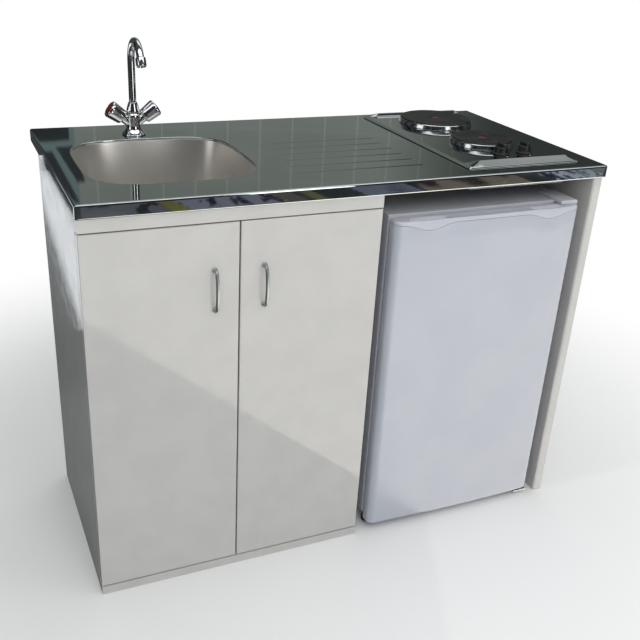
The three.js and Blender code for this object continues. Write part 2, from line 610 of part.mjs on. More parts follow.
for ( const [ name, side ] of Object.entries( SIDES ) ) {

	const cupX = inFrom( side, HINGE.edge );
	const bores = Object.values( hingeHeights ).map( ( z ) => turnedForward(
		[ [ 0, - 1 ], [ HINGE.cup + GAP, - 1 ], [ HINGE.cup + GAP, HINGE.depth + GAP ], [ 0, HINGE.depth + GAP ] ],
		cupX, doorY[ 1 ], z, 12 ) );
	const free = SPLIT + side * DOOR.gap / 2;
	const edges = [ inFrom( side, 0 ), free ].sort( ( a, b ) => a - b );
	add( `door_${ name }`, cut( door( edges, doorY, doorZ, DOOR.round ), ...bores ), LAMINATE );

	for ( const [ place, z ] of Object.entries( hingeHeights ) ) {

		// Cup: a steel bowl with a flange that is screwed to the back of the door.
		const cup = turnedForward( [ [ 0, - 1.5 ], [ HINGE.cup, - 1.5 ],
				[ HINGE.cup, HINGE.depth ], [ 0, HINGE.depth ] ], cupX, doorY[ 1 ], z, 12 );
		const wing = box( [ cupX - 8, cupX + 8 ], [ doorY[ 1 ] + GAP, doorY[ 1 ] + 1.5 ], [ z - 30, z + 30 ] );
		const hollow = turnedForward( [ [ 0, - 3 ], [ HINGE.cup - 1.6, - 3 ], [ HINGE.cup - 1.6, HINGE.depth - 1.5 ],
			[ 0, HINGE.depth - 1.5 ] ], cupX, doorY[ 1 ], z, 12 );
		add( `hinge_cup_${ name }_${ place }`, cut( join( cup, wing ), hollow ), GALVANISED );

		// Arm: a channel on its mounting plate, with a nose that reaches into the cup.
		const wallX = BOARD + GAP;
		const plate = box( [ inFrom( side, wallX ), inFrom( side, wallX + 2.5 ) ],
			[ CARCASS_FRONT + 37, CARCASS_FRONT + 69 ], [ z - 25, z + 25 ] );
		const arm = prismZ( [ [ inFrom( side, wallX ), CARCASS_FRONT + 5 ], [ inFrom( side, wallX ), CARCASS_FRONT + 80 ],
			[ inFrom( side, wallX + 9 ), CARCASS_FRONT + 80 ], [ inFrom( side, wallX + 14 ), CARCASS_FRONT + 70 ],
			[ inFrom( side, wallX + 14 ), CARCASS_FRONT + 5 ] ], [ z - 6.5, z + 6.5 ] );
		const nose = box( [ inFrom( side, wallX + 2.5 ), inFrom( side, wallX + 11 ) ],
			[ doorY[ 1 ] - 4, CARCASS_FRONT + 6 ], [ z - 5, z + 5 ] );
		add( `hinge_arm_${ name }_${ place }`, join( plate, arm, nose ), GALVANISED );

	}

	// Bow handle: two round feet and a flat bar that arches between them.
	const x = SPLIT + side * BOW.fromSplit;
	const half = BOW.centres / 2;
	const leg = [ [ 4, half - 0.5 ], [ 13, half ], [ 21, half - 5 ], [ 25.5, half - 18 ] ];
	const crest = [ FACE + HANDLE_REACH - BOW.thick, 0 ];
	const otherLeg = leg.map( ( [ out, up ] ) => [ out, - up ] ).reverse();
	const bow = new THREE.CatmullRomCurve3( [ ...leg, crest, ...otherLeg ].map(
		( [ out, up ] ) => new THREE.Vector3( x, FACE - out, BOW.z + up ) ) );
	const feet = [ - half, half ].map( ( up ) => turnedForward(
		[ [ 0, GAP ], [ BOW.foot, GAP ], [ BOW.foot, 2 ], [ 4.2, 5 ], [ 4.2, 11 ], [ 0, 11 ] ],
		x, FACE, BOW.z + up, 10 ) );
	add( `handle_${ name }`, join( swept( bow, ellipse( BOW.wide, BOW.thick, 8 ), 16 ), ...feet ), CHROME );

}

// --------------------------------------------------------------- end panel and bay rail

const edge = END_PANEL.chamfer;
add( 'end_panel', prismZ( [
	[ END_PANEL.left + edge, FACE ], [ END_PANEL.right - edge, FACE ], [ END_PANEL.right, FACE + edge ],
	[ END_PANEL.right, CARCASS_BACK ], [ END_PANEL.left, CARCASS_BACK ], [ END_PANEL.left, FACE + edge ],
], [ 0, CARCASS_TOP ] ), LAMINATE );
add( 'bay_rail', box( [ CABINET.right + GAP, END_PANEL.left - GAP ], [ CARCASS_BACK - 18, CARCASS_BACK ],
	[ BACK_PANEL.top - 50, BACK_PANEL.top + 26 ] ), LAMINATE );

// --------------------------------------------------------------------- refrigerator body

const F = FRIDGE;
const cavityX = [ F.left + F.wall, F.right - F.wall ];
// Inside outline in (y, z), with the step over the compressor.
const cavitySection = ( inset ) => [
	[ F.front - 20, F.floor + inset ], [ F.humpFront - inset, F.floor + inset ],
	[ F.humpFront - inset, F.humpTop + inset ], [ F.rear - inset, F.humpTop + inset ],
	[ F.rear - inset, F.ceiling - inset ], [ F.front - 20, F.ceiling - inset ],
];
const cavity = ( inset ) => prismX( cavitySection( inset ), [ cavityX[ 0 ] + inset, cavityX[ 1 ] - inset ] );

const niche = box( [ F.left + 25, F.right - 25 ], [ 336, F.back + 5 ], [ F.bottom - 5, 246 ] );
const rearFeet = [ F.left + 30, F.right - 30 ].map( ( x ) => rod( FOOT.radius, [ 0, F.bottom + 1 ], [ x, 300 ], 12 ) );
add( 'fridge_body', join( cut(
	prismZ( roundedRectangle( [ F.left, F.right ], [ F.front, F.back ], [ 3, 3, 6, 6 ], 3 ), [ F.bottom, F.top ] ),
	cavity( 0 ),
	niche,
), ...rearFeet ), ENAMEL );

// Inner lining with moulded shelf ledges and the thermostat housing.
const skin = cut( cavity( GAP ), cavity( GAP + LINER ) );
const liningX = [ cavityX[ 0 ] + GAP + LINER, cavityX[ 1 ] - GAP - LINER ];
const SHELF_Z = [ 281, 400, 520, 640 ];
const ledges = SHELF_Z.slice( 1 ).flatMap( ( z ) => [
	box( [ liningX[ 0 ] - 1, liningX[ 0 ] + 7 ], [ 95, 395 ], [ z - 10, z ] ),
	box( [ liningX[ 1 ] - 7, liningX[ 1 ] + 1 ], [ 95, 395 ], [ z - 10, z ] ),
] );
const lowLedges = [
	box( [ liningX[ 0 ] - 1, liningX[ 0 ] + 5 ], [ 95, F.humpFront ], [ SHELF_Z[ 0 ] - 8, SHELF_Z[ 0 ] ] ),
	box( [ liningX[ 1 ] - 5, liningX[ 1 ] + 1 ], [ 95, F.humpFront ], [ SHELF_Z[ 0 ] - 8, SHELF_Z[ 0 ] ] ),
];
const THERMOSTAT = { x: liningX[ 1 ] - 24, y: 200, z: 718 };
const housing = prismZ( roundedRectangle( [ THERMOSTAT.x, liningX[ 1 ] + 1 ], [ 140, 262 ], [ 8, 0, 0, 8 ], 3 ), [ 690, 746 ] );
const spindleHole = turnedAlong( [ [ 0, - 1 ], [ 3.4, - 1 ], [ 3.4, 10 ], [ 0, 10 ] ],
	new THREE.Vector3( THERMOSTAT.x, THERMOSTAT.y, THERMOSTAT.z ), new THREE.Vector3( 1, 0, 0 ), 12 );
const liningFront = box( [ 0, WIDTH ], [ F.front + 0.5, F.back ], [ 0, HEIGHT ] );
add( 'fridge_liner', cut( join( common( skin, liningFront ), ...ledges, ...lowLedges, housing ), spindleHole ), LINER_PLASTIC );

// The knob's pointer is a rib across its face.
const knobAxis = new THREE.Vector3( - 1, 0, 0 );
const knobStart = new THREE.Vector3( THERMOSTAT.x - GAP, THERMOSTAT.y, THERMOSTAT.z );
add( 'thermostat_knob', join(
	turnedAlong( [ [ 0, - 8 ], [ 3, - 8 ], [ 3, 0 ], [ 16, 0 ], [ 15, 9 ], [ 13.5, 10 ], [ 0, 10 ] ], knobStart, knobAxis, 16 ),
	box( [ knobStart.x - 12, knobStart.x - 9 ], [ THERMOSTAT.y - 1.5, THERMOSTAT.y + 1.5 ], [ THERMOSTAT.z, THERMOSTAT.z + 13 ] ),
), WHITE_PLASTIC );

// Glass shelves on the ledges, each with a raised front strip.
const glassShelf = ( z, y0 ) => join(
	box( [ liningX[ 0 ] + 1, liningX[ 1 ] - 1 ], [ y0, 404 ], [ z + GAP, z + 4 ] ),
	box( [ liningX[ 0 ] + 1, liningX[ 1 ] - 1 ], [ y0, y0 + 8 ], [ z + GAP, z + 9 ] ) );
add( 'fridge_shelf', glassShelf( SHELF_Z[ 2 ], 92 ), GLASS );
add( 'crisper_cover', glassShelf( SHELF_Z[ 0 ], 94 ), GLASS );

// Crisper drawer: tapered tub with a turned-out rim and a finger lip at the front.
const tub = ( inset, z0, z1 ) => {

	const level = ( grow, z ) => ringAt( roundedRectangle(
		[ liningX[ 0 ] + 10 + inset - grow, liningX[ 1 ] - 10 - inset + grow ],
		[ 98 + inset - grow, 290 - inset + grow ], 14, 3 ), z );
	return lofted( [ level( 0, z0 ), level( 3, z1 ) ] );

};

const CRISPER = { low: F.floor + GAP + LINER + GAP, high: 262 };
const rim = prismZ( roundedRectangle( [ liningX[ 0 ] + 3, liningX[ 1 ] - 3 ], [ 91, 295 ], 16, 3 ), [ CRISPER.high - 3, CRISPER.high ] );
add( 'crisper', cut( join( tub( 0, CRISPER.low, CRISPER.high ), rim ), tub( 2.5, CRISPER.low + 3, CRISPER.high + 3 ) ), GLASS );

// ------------------------------------------------------------- refrigerator top and rear

const topSection = [
	[ F.front, F.top + GAP ], [ F.back + 4, F.top + GAP ], [ F.back + 4, 815 ], [ F.back + 2, 817 ],
	[ F.front + 2, 817 ], [ F.front, 815.5 ] ];
add( 'fridge_top', prismX( topSection, [ F.left, F.right ] ), LINER_PLASTIC );

// Upper hinge: cover over the bracket, with the pin that enters the door from above.
const COVER = { left: 1088, front: 4, back: 95, high: 822 };
const cover = cut(
	prismX( [ [ COVER.front, 814.3 ], [ F.front - 1, 814.3 ], [ F.front - 1, 817.3 ], [ COVER.back, 817.3 ],
		[ COVER.back, 819 ], [ COVER.back - 8, COVER.high ], [ COVER.front + 3, COVER.high ], [ COVER.front, COVER.high - 3 ] ],
	[ COVER.left, F.right ] ),
	prismY( [ [ COVER.left - 1, 819 ], [ COVER.left + 4, 823 ], [ COVER.left - 1, 823 ] ], [ 0, 100 ] ) );
add( 'fridge_hinge_cover', join( cover, rod( FRIDGE_PIVOT.pin, [ 801, 815 ], [ FRIDGE_PIVOT.x, FRIDGE_PIVOT.y ], 12 ) ),
	LINER_PLASTIC );

// Lower hinge: a folded bracket under the body, its pin standing up into the door.
add( 'fridge_hinge_lower', join(
	box( [ 1096, F.right ], [ - 4, 36 ], [ 14, 17.5 ] ),
	box( [ 1096, F.right ], [ 33, 36 ], [ 14, F.bottom - GAP ] ),
	box( [ 1096, F.right ], [ 33, 78 ], [ F.bottom - 3, F.bottom - GAP ] ),
	rod( FRIDGE_PIVOT.pin, [ 17, 34 ], [ FRIDGE_PIVOT.x, FRIDGE_PIVOT.y ], 12 ),
), GALVANISED );

for ( const [ name, x ] of [ [ 'left', 680 ], [ 'right', 1072 ] ] ) {

	add( `fridge_foot_${ name }`, turned( [ [ 0, 0 ], [ FOOT.radius, 0 ], [ FOOT.radius, 9 ], [ FOOT.radius - 3, 12 ],
		[ 6, 13 ], [ 6, F.bottom - GAP ], [ 0, F.bottom - GAP ] ], [ x, FOOT.y, 0 ], 12 ), BLACK_PLASTIC );

}

// Compressor: a welded pot on rubber feet and a cross plate in the niche at the back.
const COMPRESSOR = { x: 940, y: 392 };
const crossPlate = box( [ F.left + 25 + GAP, F.right - 25 - GAP ], [ 345, F.back - 4 ], [ F.bottom, F.bottom + 3 ] );
const potFeet = [ - 48, 48 ].flatMap( ( dx ) => [ - 32, 32 ].map( ( dy ) =>
	rod( 8, [ F.bottom + 2, F.bottom + 16 ], [ COMPRESSOR.x + dx, COMPRESSOR.y + dy ], 6 ) ) );
add( 'compressor', join(
	crossPlate,
	...potFeet,
	box( [ COMPRESSOR.x - 60, COMPRESSOR.x + 60 ], [ COMPRESSOR.y - 42, COMPRESSOR.y + 42 ], [ F.bottom + 15, F.bottom + 18 ] ),
	turned( [ [ 0, 15 ], [ 40, 15 ], [ 53, 32 ], [ 53, 85 ], [ 55, 85 ], [ 55, 90 ], [ 52, 92 ], [ 50, 116 ],
		[ 38, 135 ], [ 0, 143 ] ], [ COMPRESSOR.x, COMPRESSOR.y, F.bottom ], 16 ),
), BLACK_PAINT );

// Condenser: one tube that runs to and fro up the back, with its tail to the compressor.
const COIL = { left: 690, right: 1098, low: 300, pitch: 76, runs: 6, tube: 2.8, y: 457.2 };
const tail = COIL.right - 60;
const coilPoints = [ [ tail, 150 ], [ tail, COIL.low - 14 ], [ tail - 14, COIL.low ] ];
for ( let run = 0; run < COIL.runs; run ++ ) {

	const z = COIL.low + run * COIL.pitch;
	const way = run % 2 ? 1 : - 1; // even runs go to the left
	const [ from, to ] = way < 0 ? [ COIL.right, COIL.left ] : [ COIL.left, COIL.right ];
	if ( run > 0 ) coilPoints.push( [ from, z ] );
	coilPoints.push( [ to, z ] );
	if ( run === COIL.runs - 1 ) continue;
	for ( const degrees of [ 55, 125 ] ) {

		const a = THREE.MathUtils.degToRad( degrees );
		const half = COIL.pitch / 2;
		coilPoints.push( [ to + way * half * 0.8 * Math.sin( a ), z + half - half * Math.cos( a ) ] );

	}

}

const coilRings = coilPoints.map( ( [ x, z ], i ) => {

	const before = coilPoints[ Math.max( 0, i - 1 ) ];
	const after = coilPoints[ Math.min( coilPoints.length - 1, i + 1 ) ];
	const way = new THREE.Vector3( after[ 0 ] - before[ 0 ], 0, after[ 1 ] - before[ 1 ] ).normalize();
	const across = new THREE.Vector3( way.z, 0, - way.x );
	return [ ...Array( 5 ).keys() ].map( ( k ) => {

		const angle = 2 * Math.PI * k / 5;
		return new THREE.Vector3( x, COIL.y + COIL.tube * Math.sin( angle ), z )
			.addScaledVector( across, COIL.tube * Math.cos( angle ) );

	} );

} );
const straps = [ 740, 1048 ].map( ( x ) =>
	box( [ x - 5, x + 5 ], [ F.back + GAP, COIL.y ], [ COIL.low - 8, COIL.low + ( COIL.runs - 1 ) * COIL.pitch + 8 ] ) );
add( 'condenser', join( lofted( coilRings ), ...straps ), BLACK_PAINT );

// --------------------------------------------------------------------- refrigerator door

const D = FRIDGE_DOOR;
const centreX = ( F.left + F.right ) / 2;
const halfWidth = ( F.right - F.left ) / 2;

// Plan of the door: a crowned front between two round corners, and a flat back.
function doorPlan() {

	const points = [ [ F.left, D.back ], [ F.right, D.back ] ];
	const flat = halfWidth - D.round;
	const steps = 8;
	for ( let i = 0; i <= 5; i ++ ) {

		const a = THREE.MathUtils.degToRad( 90 * i / 5 );
		points.push( [ F.right - D.round + D.round * Math.cos( a ), D.front + D.crown + D.round - D.round * Math.sin( a ) ] );

	}

	for ( let i = 1; i < steps; i ++ ) {

		const t = 1 - 2 * i / steps;
		points.push( [ centreX + flat * t, D.front + D.crown * t * t ] );

	}

	for ( let i = 5; i >= 0; i -- ) {

		const a = THREE.MathUtils.degToRad( 90 * i / 5 );
		points.push( [ F.left + D.round - D.round * Math.cos( a ), D.front + D.crown + D.round - D.round * Math.sin( a ) ] );

	}

	return points;

}

// Side view of the door: the front rolls under at the bottom and is eased at the top.
const doorSide = roundedRectangle( [ D.front, D.back ], [ D.bottom, D.top ], [ 12, 3, 2, 4 ], 4 );
const doorBlock = common(
	prismZ( doorPlan(), [ D.bottom - 1, D.top + 1 ] ),
	prismX( doorSide, [ F.left - 1, F.right + 1 ] ),
	prismY( roundedRectangle( [ F.left, F.right ], [ D.bottom, D.top ], [ 10, 10, 3, 3 ], 4 ), [ D.front - 1, D.back + 1 ] ) );

// The cap's lower edge dips under each of the two finger grips.
function capEdge( x ) {

	const away = Math.abs( Math.abs( x - centreX ) - GRIP.fromCentre ) / 66;
	return D.top - 8.5 - ( away < 1 ? 7.2 * ( 1 + Math.cos( Math.PI * away ) ) : 0 );

}

const wave = [];
for ( let x = F.left - 5; x < F.right + 6; x += 16.3 ) wave.push( [ x, capEdge( x ) ] );
const aboveWave = prismY( [ ...wave, [ F.right + 9, D.top + 9 ], [ F.left - 9, D.top + 9 ] ], [ D.front - 5, D.back + 5 ] );
const SEAM = 0.7; // open joint between the cap and the door skin
const belowWave = prismY( [ [ F.left - 9, D.bottom - 9 ], [ F.right + 9, D.bottom - 9 ],
	...wave.map( ( [ x, z ] ) => [ x, z - SEAM ] ).reverse() ], [ D.front - 5, D.back + 5 ] );

const pinBore = ( zs ) => rod( FRIDGE_PIVOT.pin + 0.5, zs, [ FRIDGE_PIVOT.x, FRIDGE_PIVOT.y ], 12 );
add( 'fridge_door', cut( common( doorBlock, belowWave ), pinBore( [ 799, D.top + 5 ] ), pinBore( [ D.bottom - 5, 36 ] ) ), ENAMEL );

// Finger grips: two lens-shaped pockets in the cap's top.
const grips = [ - 1, 1 ].map( ( side ) => {

	const points = [];
	for ( let i = 0; i < 20; i ++ ) {

		const a = 2 * Math.PI * i / 20;
		const flatness = Math.abs( Math.sin( a ) ) ** 0.75 * Math.sign( Math.sin( a ) );
		points.push( [ centreX + side * GRIP.fromCentre + GRIP.half * Math.cos( a ), GRIP.y + GRIP.reach * flatness ] );

	}

	return prismZ( points, [ D.top - GRIP.depth, D.top + 5 ] );

} );
add( 'fridge_door_cap', cut( common( doorBlock, aboveWave ), pinBore( [ 790, D.top + 5 ] ), ...grips ), LINER_PLASTIC );

// Magnetic gasket: a hollow-cornered frame on the back of the door.
const SEAL = { x: [ 672, 1116 ], z: [ 43, 796 ], width: 16 };
add( 'fridge_gasket', cut(
	prismY( roundedRectangle( SEAL.x, SEAL.z, 6, 3 ), [ D.back + GAP, F.front - GAP ] ),
	prismY( roundedRectangle( [ SEAL.x[ 0 ] + SEAL.width, SEAL.x[ 1 ] - SEAL.width ],
		[ SEAL.z[ 0 ] + SEAL.width, SEAL.z[ 1 ] - SEAL.width ], 4, 3 ), [ D.back - 5, F.front + 5 ] ),
), RUBBER );

// Door lining: back sheet, two upright dykes and two racks with a front rail each.
const lining = { x: [ 690, 1098 ], z: [ 61, 778 ] };
const DYKE = { x: [ 704, 1084 ], thick: 8, reach: 56 };
const rackAt = ( z, height ) => cut(
	box( [ DYKE.x[ 0 ] + 6, DYKE.x[ 1 ] - 6 ], [ D.back + 2, 88 ], [ z, z + height ] ),
	box( [ DYKE.x[ 0 ] + 9, DYKE.x[ 1 ] - 9 ], [ D.back + 5, 85 ], [ z + 3, z + height + 5 ] ) );
add( 'fridge_door_liner', join(
	prismY( roundedRectangle( lining.x, lining.z, 10, 3 ), [ D.back + GAP, D.back + GAP + LINER ] ),
	box( [ DYKE.x[ 0 ], DYKE.x[ 0 ] + DYKE.thick ], [ D.back + 1, DYKE.reach ], [ 100, 750 ] ),
	box( [ DYKE.x[ 1 ] - DYKE.thick, DYKE.x[ 1 ] ], [ D.back + 1, DYKE.reach ], [ 100, 750 ] ),
	rackAt( 112, 70 ),
	rackAt( 420, 50 ),
	rackAt( 610, 45 ),
), LINER_PLASTIC );

// ------------------------------------------------------------------------- bench to frame

// The handles stand in front of the worktop, so the footprint's middle lies ahead of
// the worktop's own.
unit.position.set( - WIDTH / 2, - ( DEPTH - HANDLE_REACH ) / 2, 0 );

export default unit;
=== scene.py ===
"""Looks of the kitchenette unit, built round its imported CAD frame.

Lengths are millimetres in bench coordinates: x from the worktop's left end, y from its
front edge towards the back, z from the floor. W() turns them into the row frame in
metres. A Form is a mesh under construction, and a Finish is a material.
"""

import json
from math import ceil, copysign, cos, dist, hypot, pi, radians, sin

import bmesh
import bpy
from mathutils import Matrix, Vector
from mathutils.geometry import tessellate_polygon


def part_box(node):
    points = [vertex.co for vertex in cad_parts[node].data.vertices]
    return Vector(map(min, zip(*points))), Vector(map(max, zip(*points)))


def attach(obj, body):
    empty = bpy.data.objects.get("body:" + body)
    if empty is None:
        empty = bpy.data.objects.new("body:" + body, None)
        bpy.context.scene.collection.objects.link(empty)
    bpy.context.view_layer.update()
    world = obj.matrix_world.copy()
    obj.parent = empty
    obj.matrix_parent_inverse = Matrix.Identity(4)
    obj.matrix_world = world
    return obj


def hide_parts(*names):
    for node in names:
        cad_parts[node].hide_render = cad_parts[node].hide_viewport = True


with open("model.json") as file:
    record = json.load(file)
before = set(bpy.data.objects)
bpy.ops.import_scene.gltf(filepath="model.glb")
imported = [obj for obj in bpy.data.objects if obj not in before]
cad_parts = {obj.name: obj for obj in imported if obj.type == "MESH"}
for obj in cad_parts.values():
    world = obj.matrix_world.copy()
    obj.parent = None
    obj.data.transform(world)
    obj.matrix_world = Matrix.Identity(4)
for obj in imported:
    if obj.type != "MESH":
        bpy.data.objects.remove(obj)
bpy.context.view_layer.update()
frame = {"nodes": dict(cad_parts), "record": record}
NODES = frame["nodes"]
SLOT_OF = {row["node"]: row["material_slot"] for row in frame["record"]["subparts"]}
ROOT = "cabinet"
SCENE = bpy.context.scene

# --- driving dimensions

WIDTH, DEPTH, HEIGHT = 1200, 600, 900
FRAME_ORIGIN = (600, 285)
SHEET = 1.2
APRON_FOOT = 872
TOP_ROLL = 4
BOWL_X, BOWL_Y, BOWL_HALF_X, BOWL_HALF_Y = 233, 279, 178.5, 177
BOWL_POWER = 3.8  # of the superellipse round its mouth
WASTE_TOP = 748
HOB_OPENING = (865, 1133, 55, 545)
GROOVES, GROOVE_Y, GROOVE_PITCH = 6, 104, 49
GROOVE_LEFT, GROOVE_SLANT, GROOVE_RIGHT = 461, 8, 776
GROOVE_HALF, GROOVE_DEPTH = 4.6, 0.8
TAP_X, TAP_Y = 222, 499
PIPE, RISE, BEND, SWEEP = 8.2, 164.9, 49, 156  # spout: radius, straight part, bend and its degrees
TILT = 36  # of a tap handle, in degrees
GRIP_LENGTH = 37
HOB_LEFT, HOB_RIGHT, HOB_FRONT, HOB_BACK, HOB_FIELD, HOB_RIDGE = 851, 1147, 40, 560, 906, 913
PLATE_X, PLATE_TOP = 1003, 921
PLATES = {"rear": (447, 90), "front": (228, 72.5)}  # depth and radius
RING_PITCH = 0.0016  # of the turning marks on a plate, in metres
KNOB_Y = 127
KNOBS = {"rear": 990, "front": 1054}
DOOR_FACE = 1  # of the cabinet
SPLIT = 313  # between the doors
BOW_Z, BOW_HALF, BOW_FROM_SPLIT = 705, 42.5, 52
FRIDGE_LEFT, FRIDGE_RIGHT, FRIDGE_FRONT, FRIDGE_BACK, FRIDGE_FOOT = 655, 1133, 30, 450, 40
DOOR_BOTTOM, DOOR_TOP, DOOR_FRONT, DOOR_BACK = 21, 813, -14, 22  # of the refrigerator
DOOR_ROUND, DOOR_CROWN = 18, 4
GRIP_OFFSET, GRIP_HALF, GRIP_REACH, GRIP_Y, GRIP_DEPTH = 157, 48, 11, 1, 7


def W(x, y, z):
    return Vector(((x - FRAME_ORIGIN[0]) / 1000, (y - FRAME_ORIGIN[1]) / 1000, z / 1000))


def blend(a, b, t):
    return a + (b - a) * t


def turns(count, start=0.0):
    """Angles of that many equal steps round a circle."""
    return [start + 2 * pi * k / count for k in range(count)]


def add_object(name, data):
    """An object in the scene that holds a mesh, lamp or camera."""
    added = bpy.data.objects.new(name, data)
    SCENE.collection.objects.link(added)
    return added


# --- materials


def tone(red, green, blue):
    """A display colour of 0 to 255 as the linear colour that a shader takes."""
    linear = [((c / 255 + 0.055) / 1.055) ** 2.4 if c > 10 else c / 255 / 12.92 for c in (red, green, blue)]
    return (*linear, 1)


class Nodes:
    """A node tree, with short ways to add to it."""

    def __init__(self, tree):
        self.tree = tree

    def node(self, kind, inputs=(), **settings):
        """Add a shader node and return its outputs. An input takes a value or another's output."""
        n = self.tree.nodes.new("ShaderNode" + kind)
        for key, value in settings.items():
            setattr(n, key, value)
        for key, value in dict(inputs).items():
            if isinstance(value, bpy.types.NodeSocket):
                self.tree.links.new(value, n.inputs[key])
            else:
                n.inputs[key].default_value = value
        return n.outputs

    def math(self, operation, a, b=0.0):
        return self.node("Math", {0: a, 1: b}, operation=operation)[0]

    def seen(self):
        """1 for camera, glossy and transmission rays, 0 for the rays that light the object."""
        path = self.node("LightPath")
        mirrored = self.math("MAXIMUM", path["Is Glossy Ray"], path["Is Transmission Ray"])
        return self.math("MAXIMUM", path["Is Camera Ray"], mirrored)


class Finish(Nodes):
    """A Principled material, with short ways to vary its colour, gloss and surface."""

    def __init__(self, name, **sockets):
        self.name = name
        self.material = bpy.data.materials.new(name)
        self.material.use_nodes = True
        super().__init__(self.material.node_tree)
        self.shader = self.tree.nodes["Principled BSDF"]
        self.place = self.node("TexCoord")["Object"]
        self.normal = None
        for key, value in sockets.items():
            self.shader.inputs[key.replace("_", " ")].default_value = value

    def noise(self, scale, detail=2, rough=0.5, stretch=(1, 1, 1)):
        place = self.node("Mapping", {"Vector": self.place, "Scale": stretch})[0]
        inputs = {"Vector": place, "Scale": scale, "Detail": detail, "Roughness": rough}
        return self.node("TexNoise", inputs)["Fac"]

    def cells(self, scale, output="Distance"):
        return self.node("TexVoronoi", {"Vector": self.place, "Scale": scale})[output]

    def remap(self, source, low, high, out_low=0.0, out_high=1.0):
        inputs = {"Value": source, "From Min": low, "From Max": high, "To Min": out_low, "To Max": out_high}
        return self.node("MapRange", inputs, clamp=True, interpolation_type="SMOOTHSTEP")[0]

    def mix(self, factor, a, b):
        return self.node("Mix", {0: factor, 6: a, 7: b}, data_type="RGBA")[2]

    def length(self, vector):
        return self.node("VectorMath", {0: vector}, operation="LENGTH")["Value"]

    def wire(self, source, socket):
        self.tree.links.new(source, self.shader.inputs[socket])

    def colour(self, source):
        self.wire(source, "Base Color")

    def two_tone(self, first, second, scale, detail=3):
        """Let the colour wander between two shades, given as linear colours."""
        self.colour(self.mix(self.remap(self.noise(scale, detail), 0.35, 0.65), first, second))

    def rough(self, source, smoothest, roughest, low=0.3, high=0.7):
        """Spread the roughness over the part of a signal between low and high."""
        self.wire(self.remap(source, low, high, smoothest, roughest), "Roughness")

    def bump(self, height, reach):
        """Raise the surface by height, a 0 to 1 signal, times reach in metres."""
        inputs = {"Height": height, "Strength": 1.0, "Distance": reach}
        if self.normal:
            inputs["Normal"] = self.normal
        self.normal = self.node("Bump", inputs)[0]
        self.wire(self.normal, "Normal")

    def show(self, output):
        """Put another shader than the Principled one on the surface."""
        self.tree.links.new(output, self.tree.nodes["Material Output"].inputs["Surface"])


def worktop_steel():
    """Polished sheet: slow waves from pressing, faint lengthwise polishing lines."""
    f = Finish("worktop_steel", Metallic=1.0)
    f.two_tone(tone(184, 192, 192), tone(192, 199, 200), 5)
    lines = f.noise(90, 4, stretch=(0.25, 14, 4))
    wipes = f.noise(9, 3, 0.6)
    f.rough(f.math("MULTIPLY", f.math("ADD", lines, wipes), 0.5), 0.012, 0.045, 0.35, 0.7)
    f.bump(f.noise(4.5, 1.5), 0.00006)
    f.bump(lines, 0.000004)
    return f


def satin_steel():
    """Deep-drawn bowl: fine upright grain in a soft sheen."""
    f = Finish("satin_steel", Metallic=0.84)
    f.two_tone(tone(206, 203, 197), tone(214, 211, 206), 7)
    f.rough(f.noise(420, 3, 0.5, stretch=(1, 1, 0.2)), 0.285, 0.305, 0.2, 0.8)
    f.bump(f.noise(9, 2), 0.00005)
    return f


def chrome():
    f = Finish("chrome", Metallic=1.0)
    f.two_tone(tone(222, 224, 226), tone(232, 233, 235), 30)
    f.rough(f.noise(160, 4), 0.015, 0.045, 0.4, 0.75)
    f.bump(f.noise(45, 2), 0.000008)
    return f


def galvanised():
    """Zinc crystals of two greys."""
    f = Finish("galvanised", Metallic=0.9)
    f.colour(f.mix(f.cells(90, output="Color"), tone(150, 154, 157), tone(188, 191, 194)))
    f.rough(f.noise(70, 3), 0.35, 0.55)
    f.bump(f.cells(90), 0.00008)
    return f


def fine_grained(name, first, second, rough, grain=900, reach=0.00002, **sockets):
    """A moulded or painted surface: two close shades and a fine grain."""
    f = Finish(name, **sockets)
    f.two_tone(tone(*first), tone(*second), 12)
    f.rough(f.noise(60, 3), rough, rough + 0.08)
    f.bump(f.noise(grain, 3), reach)
    return f


def laminate():
    """Cream-white melamine facing: a light pearl structure, a little mottled."""
    f = Finish("laminate")
    f.two_tone(tone(196, 195, 192), tone(192, 191, 189), 14, 4)
    f.rough(f.noise(34, 4), 0.04, 0.09)
    f.bump(f.noise(420, 3), 0.000012)
    f.bump(f.noise(7, 2), 0.00003)
    return f


def fridge_white():
    """Painted steel: cool white with the light orange peel of a stoved coat."""
    f = Finish("fridge_white")
    f.two_tone(tone(186, 189, 198), tone(182, 186, 196), 9)
    f.rough(f.noise(40, 3), 0.28, 0.38)
    f.bump(f.noise(330, 2), 0.00002)
    return f


def chipboard():
    """Raw board edges and undersides, with a grey primer over the chips."""
    f = Finish("chipboard")
    f.colour(f.mix(f.noise(160, 4), tone(138, 134, 120), tone(182, 180, 166)))
    f.bump(f.noise(300, 4), 0.0004)
    f.rough(f.cells(240, output="Color"), 0.75, 0.95, 0.0, 1.0)
    return f


def cast_iron(plate):
    """Black seasoned plate: fine turned rings about its own centre."""
    f = Finish("cast_iron", Specular_IOR_Level=0.45)
    x, y, _ = W(PLATE_X, PLATES[plate][0], 0)
    flat = f.node("Mapping", {"Vector": f.place, "Location": (-x, -y, 0), "Scale": (1, 1, 0)})[0]
    rings = f.math("SINE", f.math("MULTIPLY", f.length(flat), 2 * pi / RING_PITCH))
    wear = f.noise(26, 5, 0.6)
    f.colour(f.mix(f.remap(wear, 0.35, 0.7), tone(22, 24, 24), tone(36, 38, 36)))
    f.rough(wear, 0.38, 0.56)
    f.bump(f.remap(rings, -1, 1), 0.00003)
    f.bump(f.noise(700, 4), 0.00006)
    return f


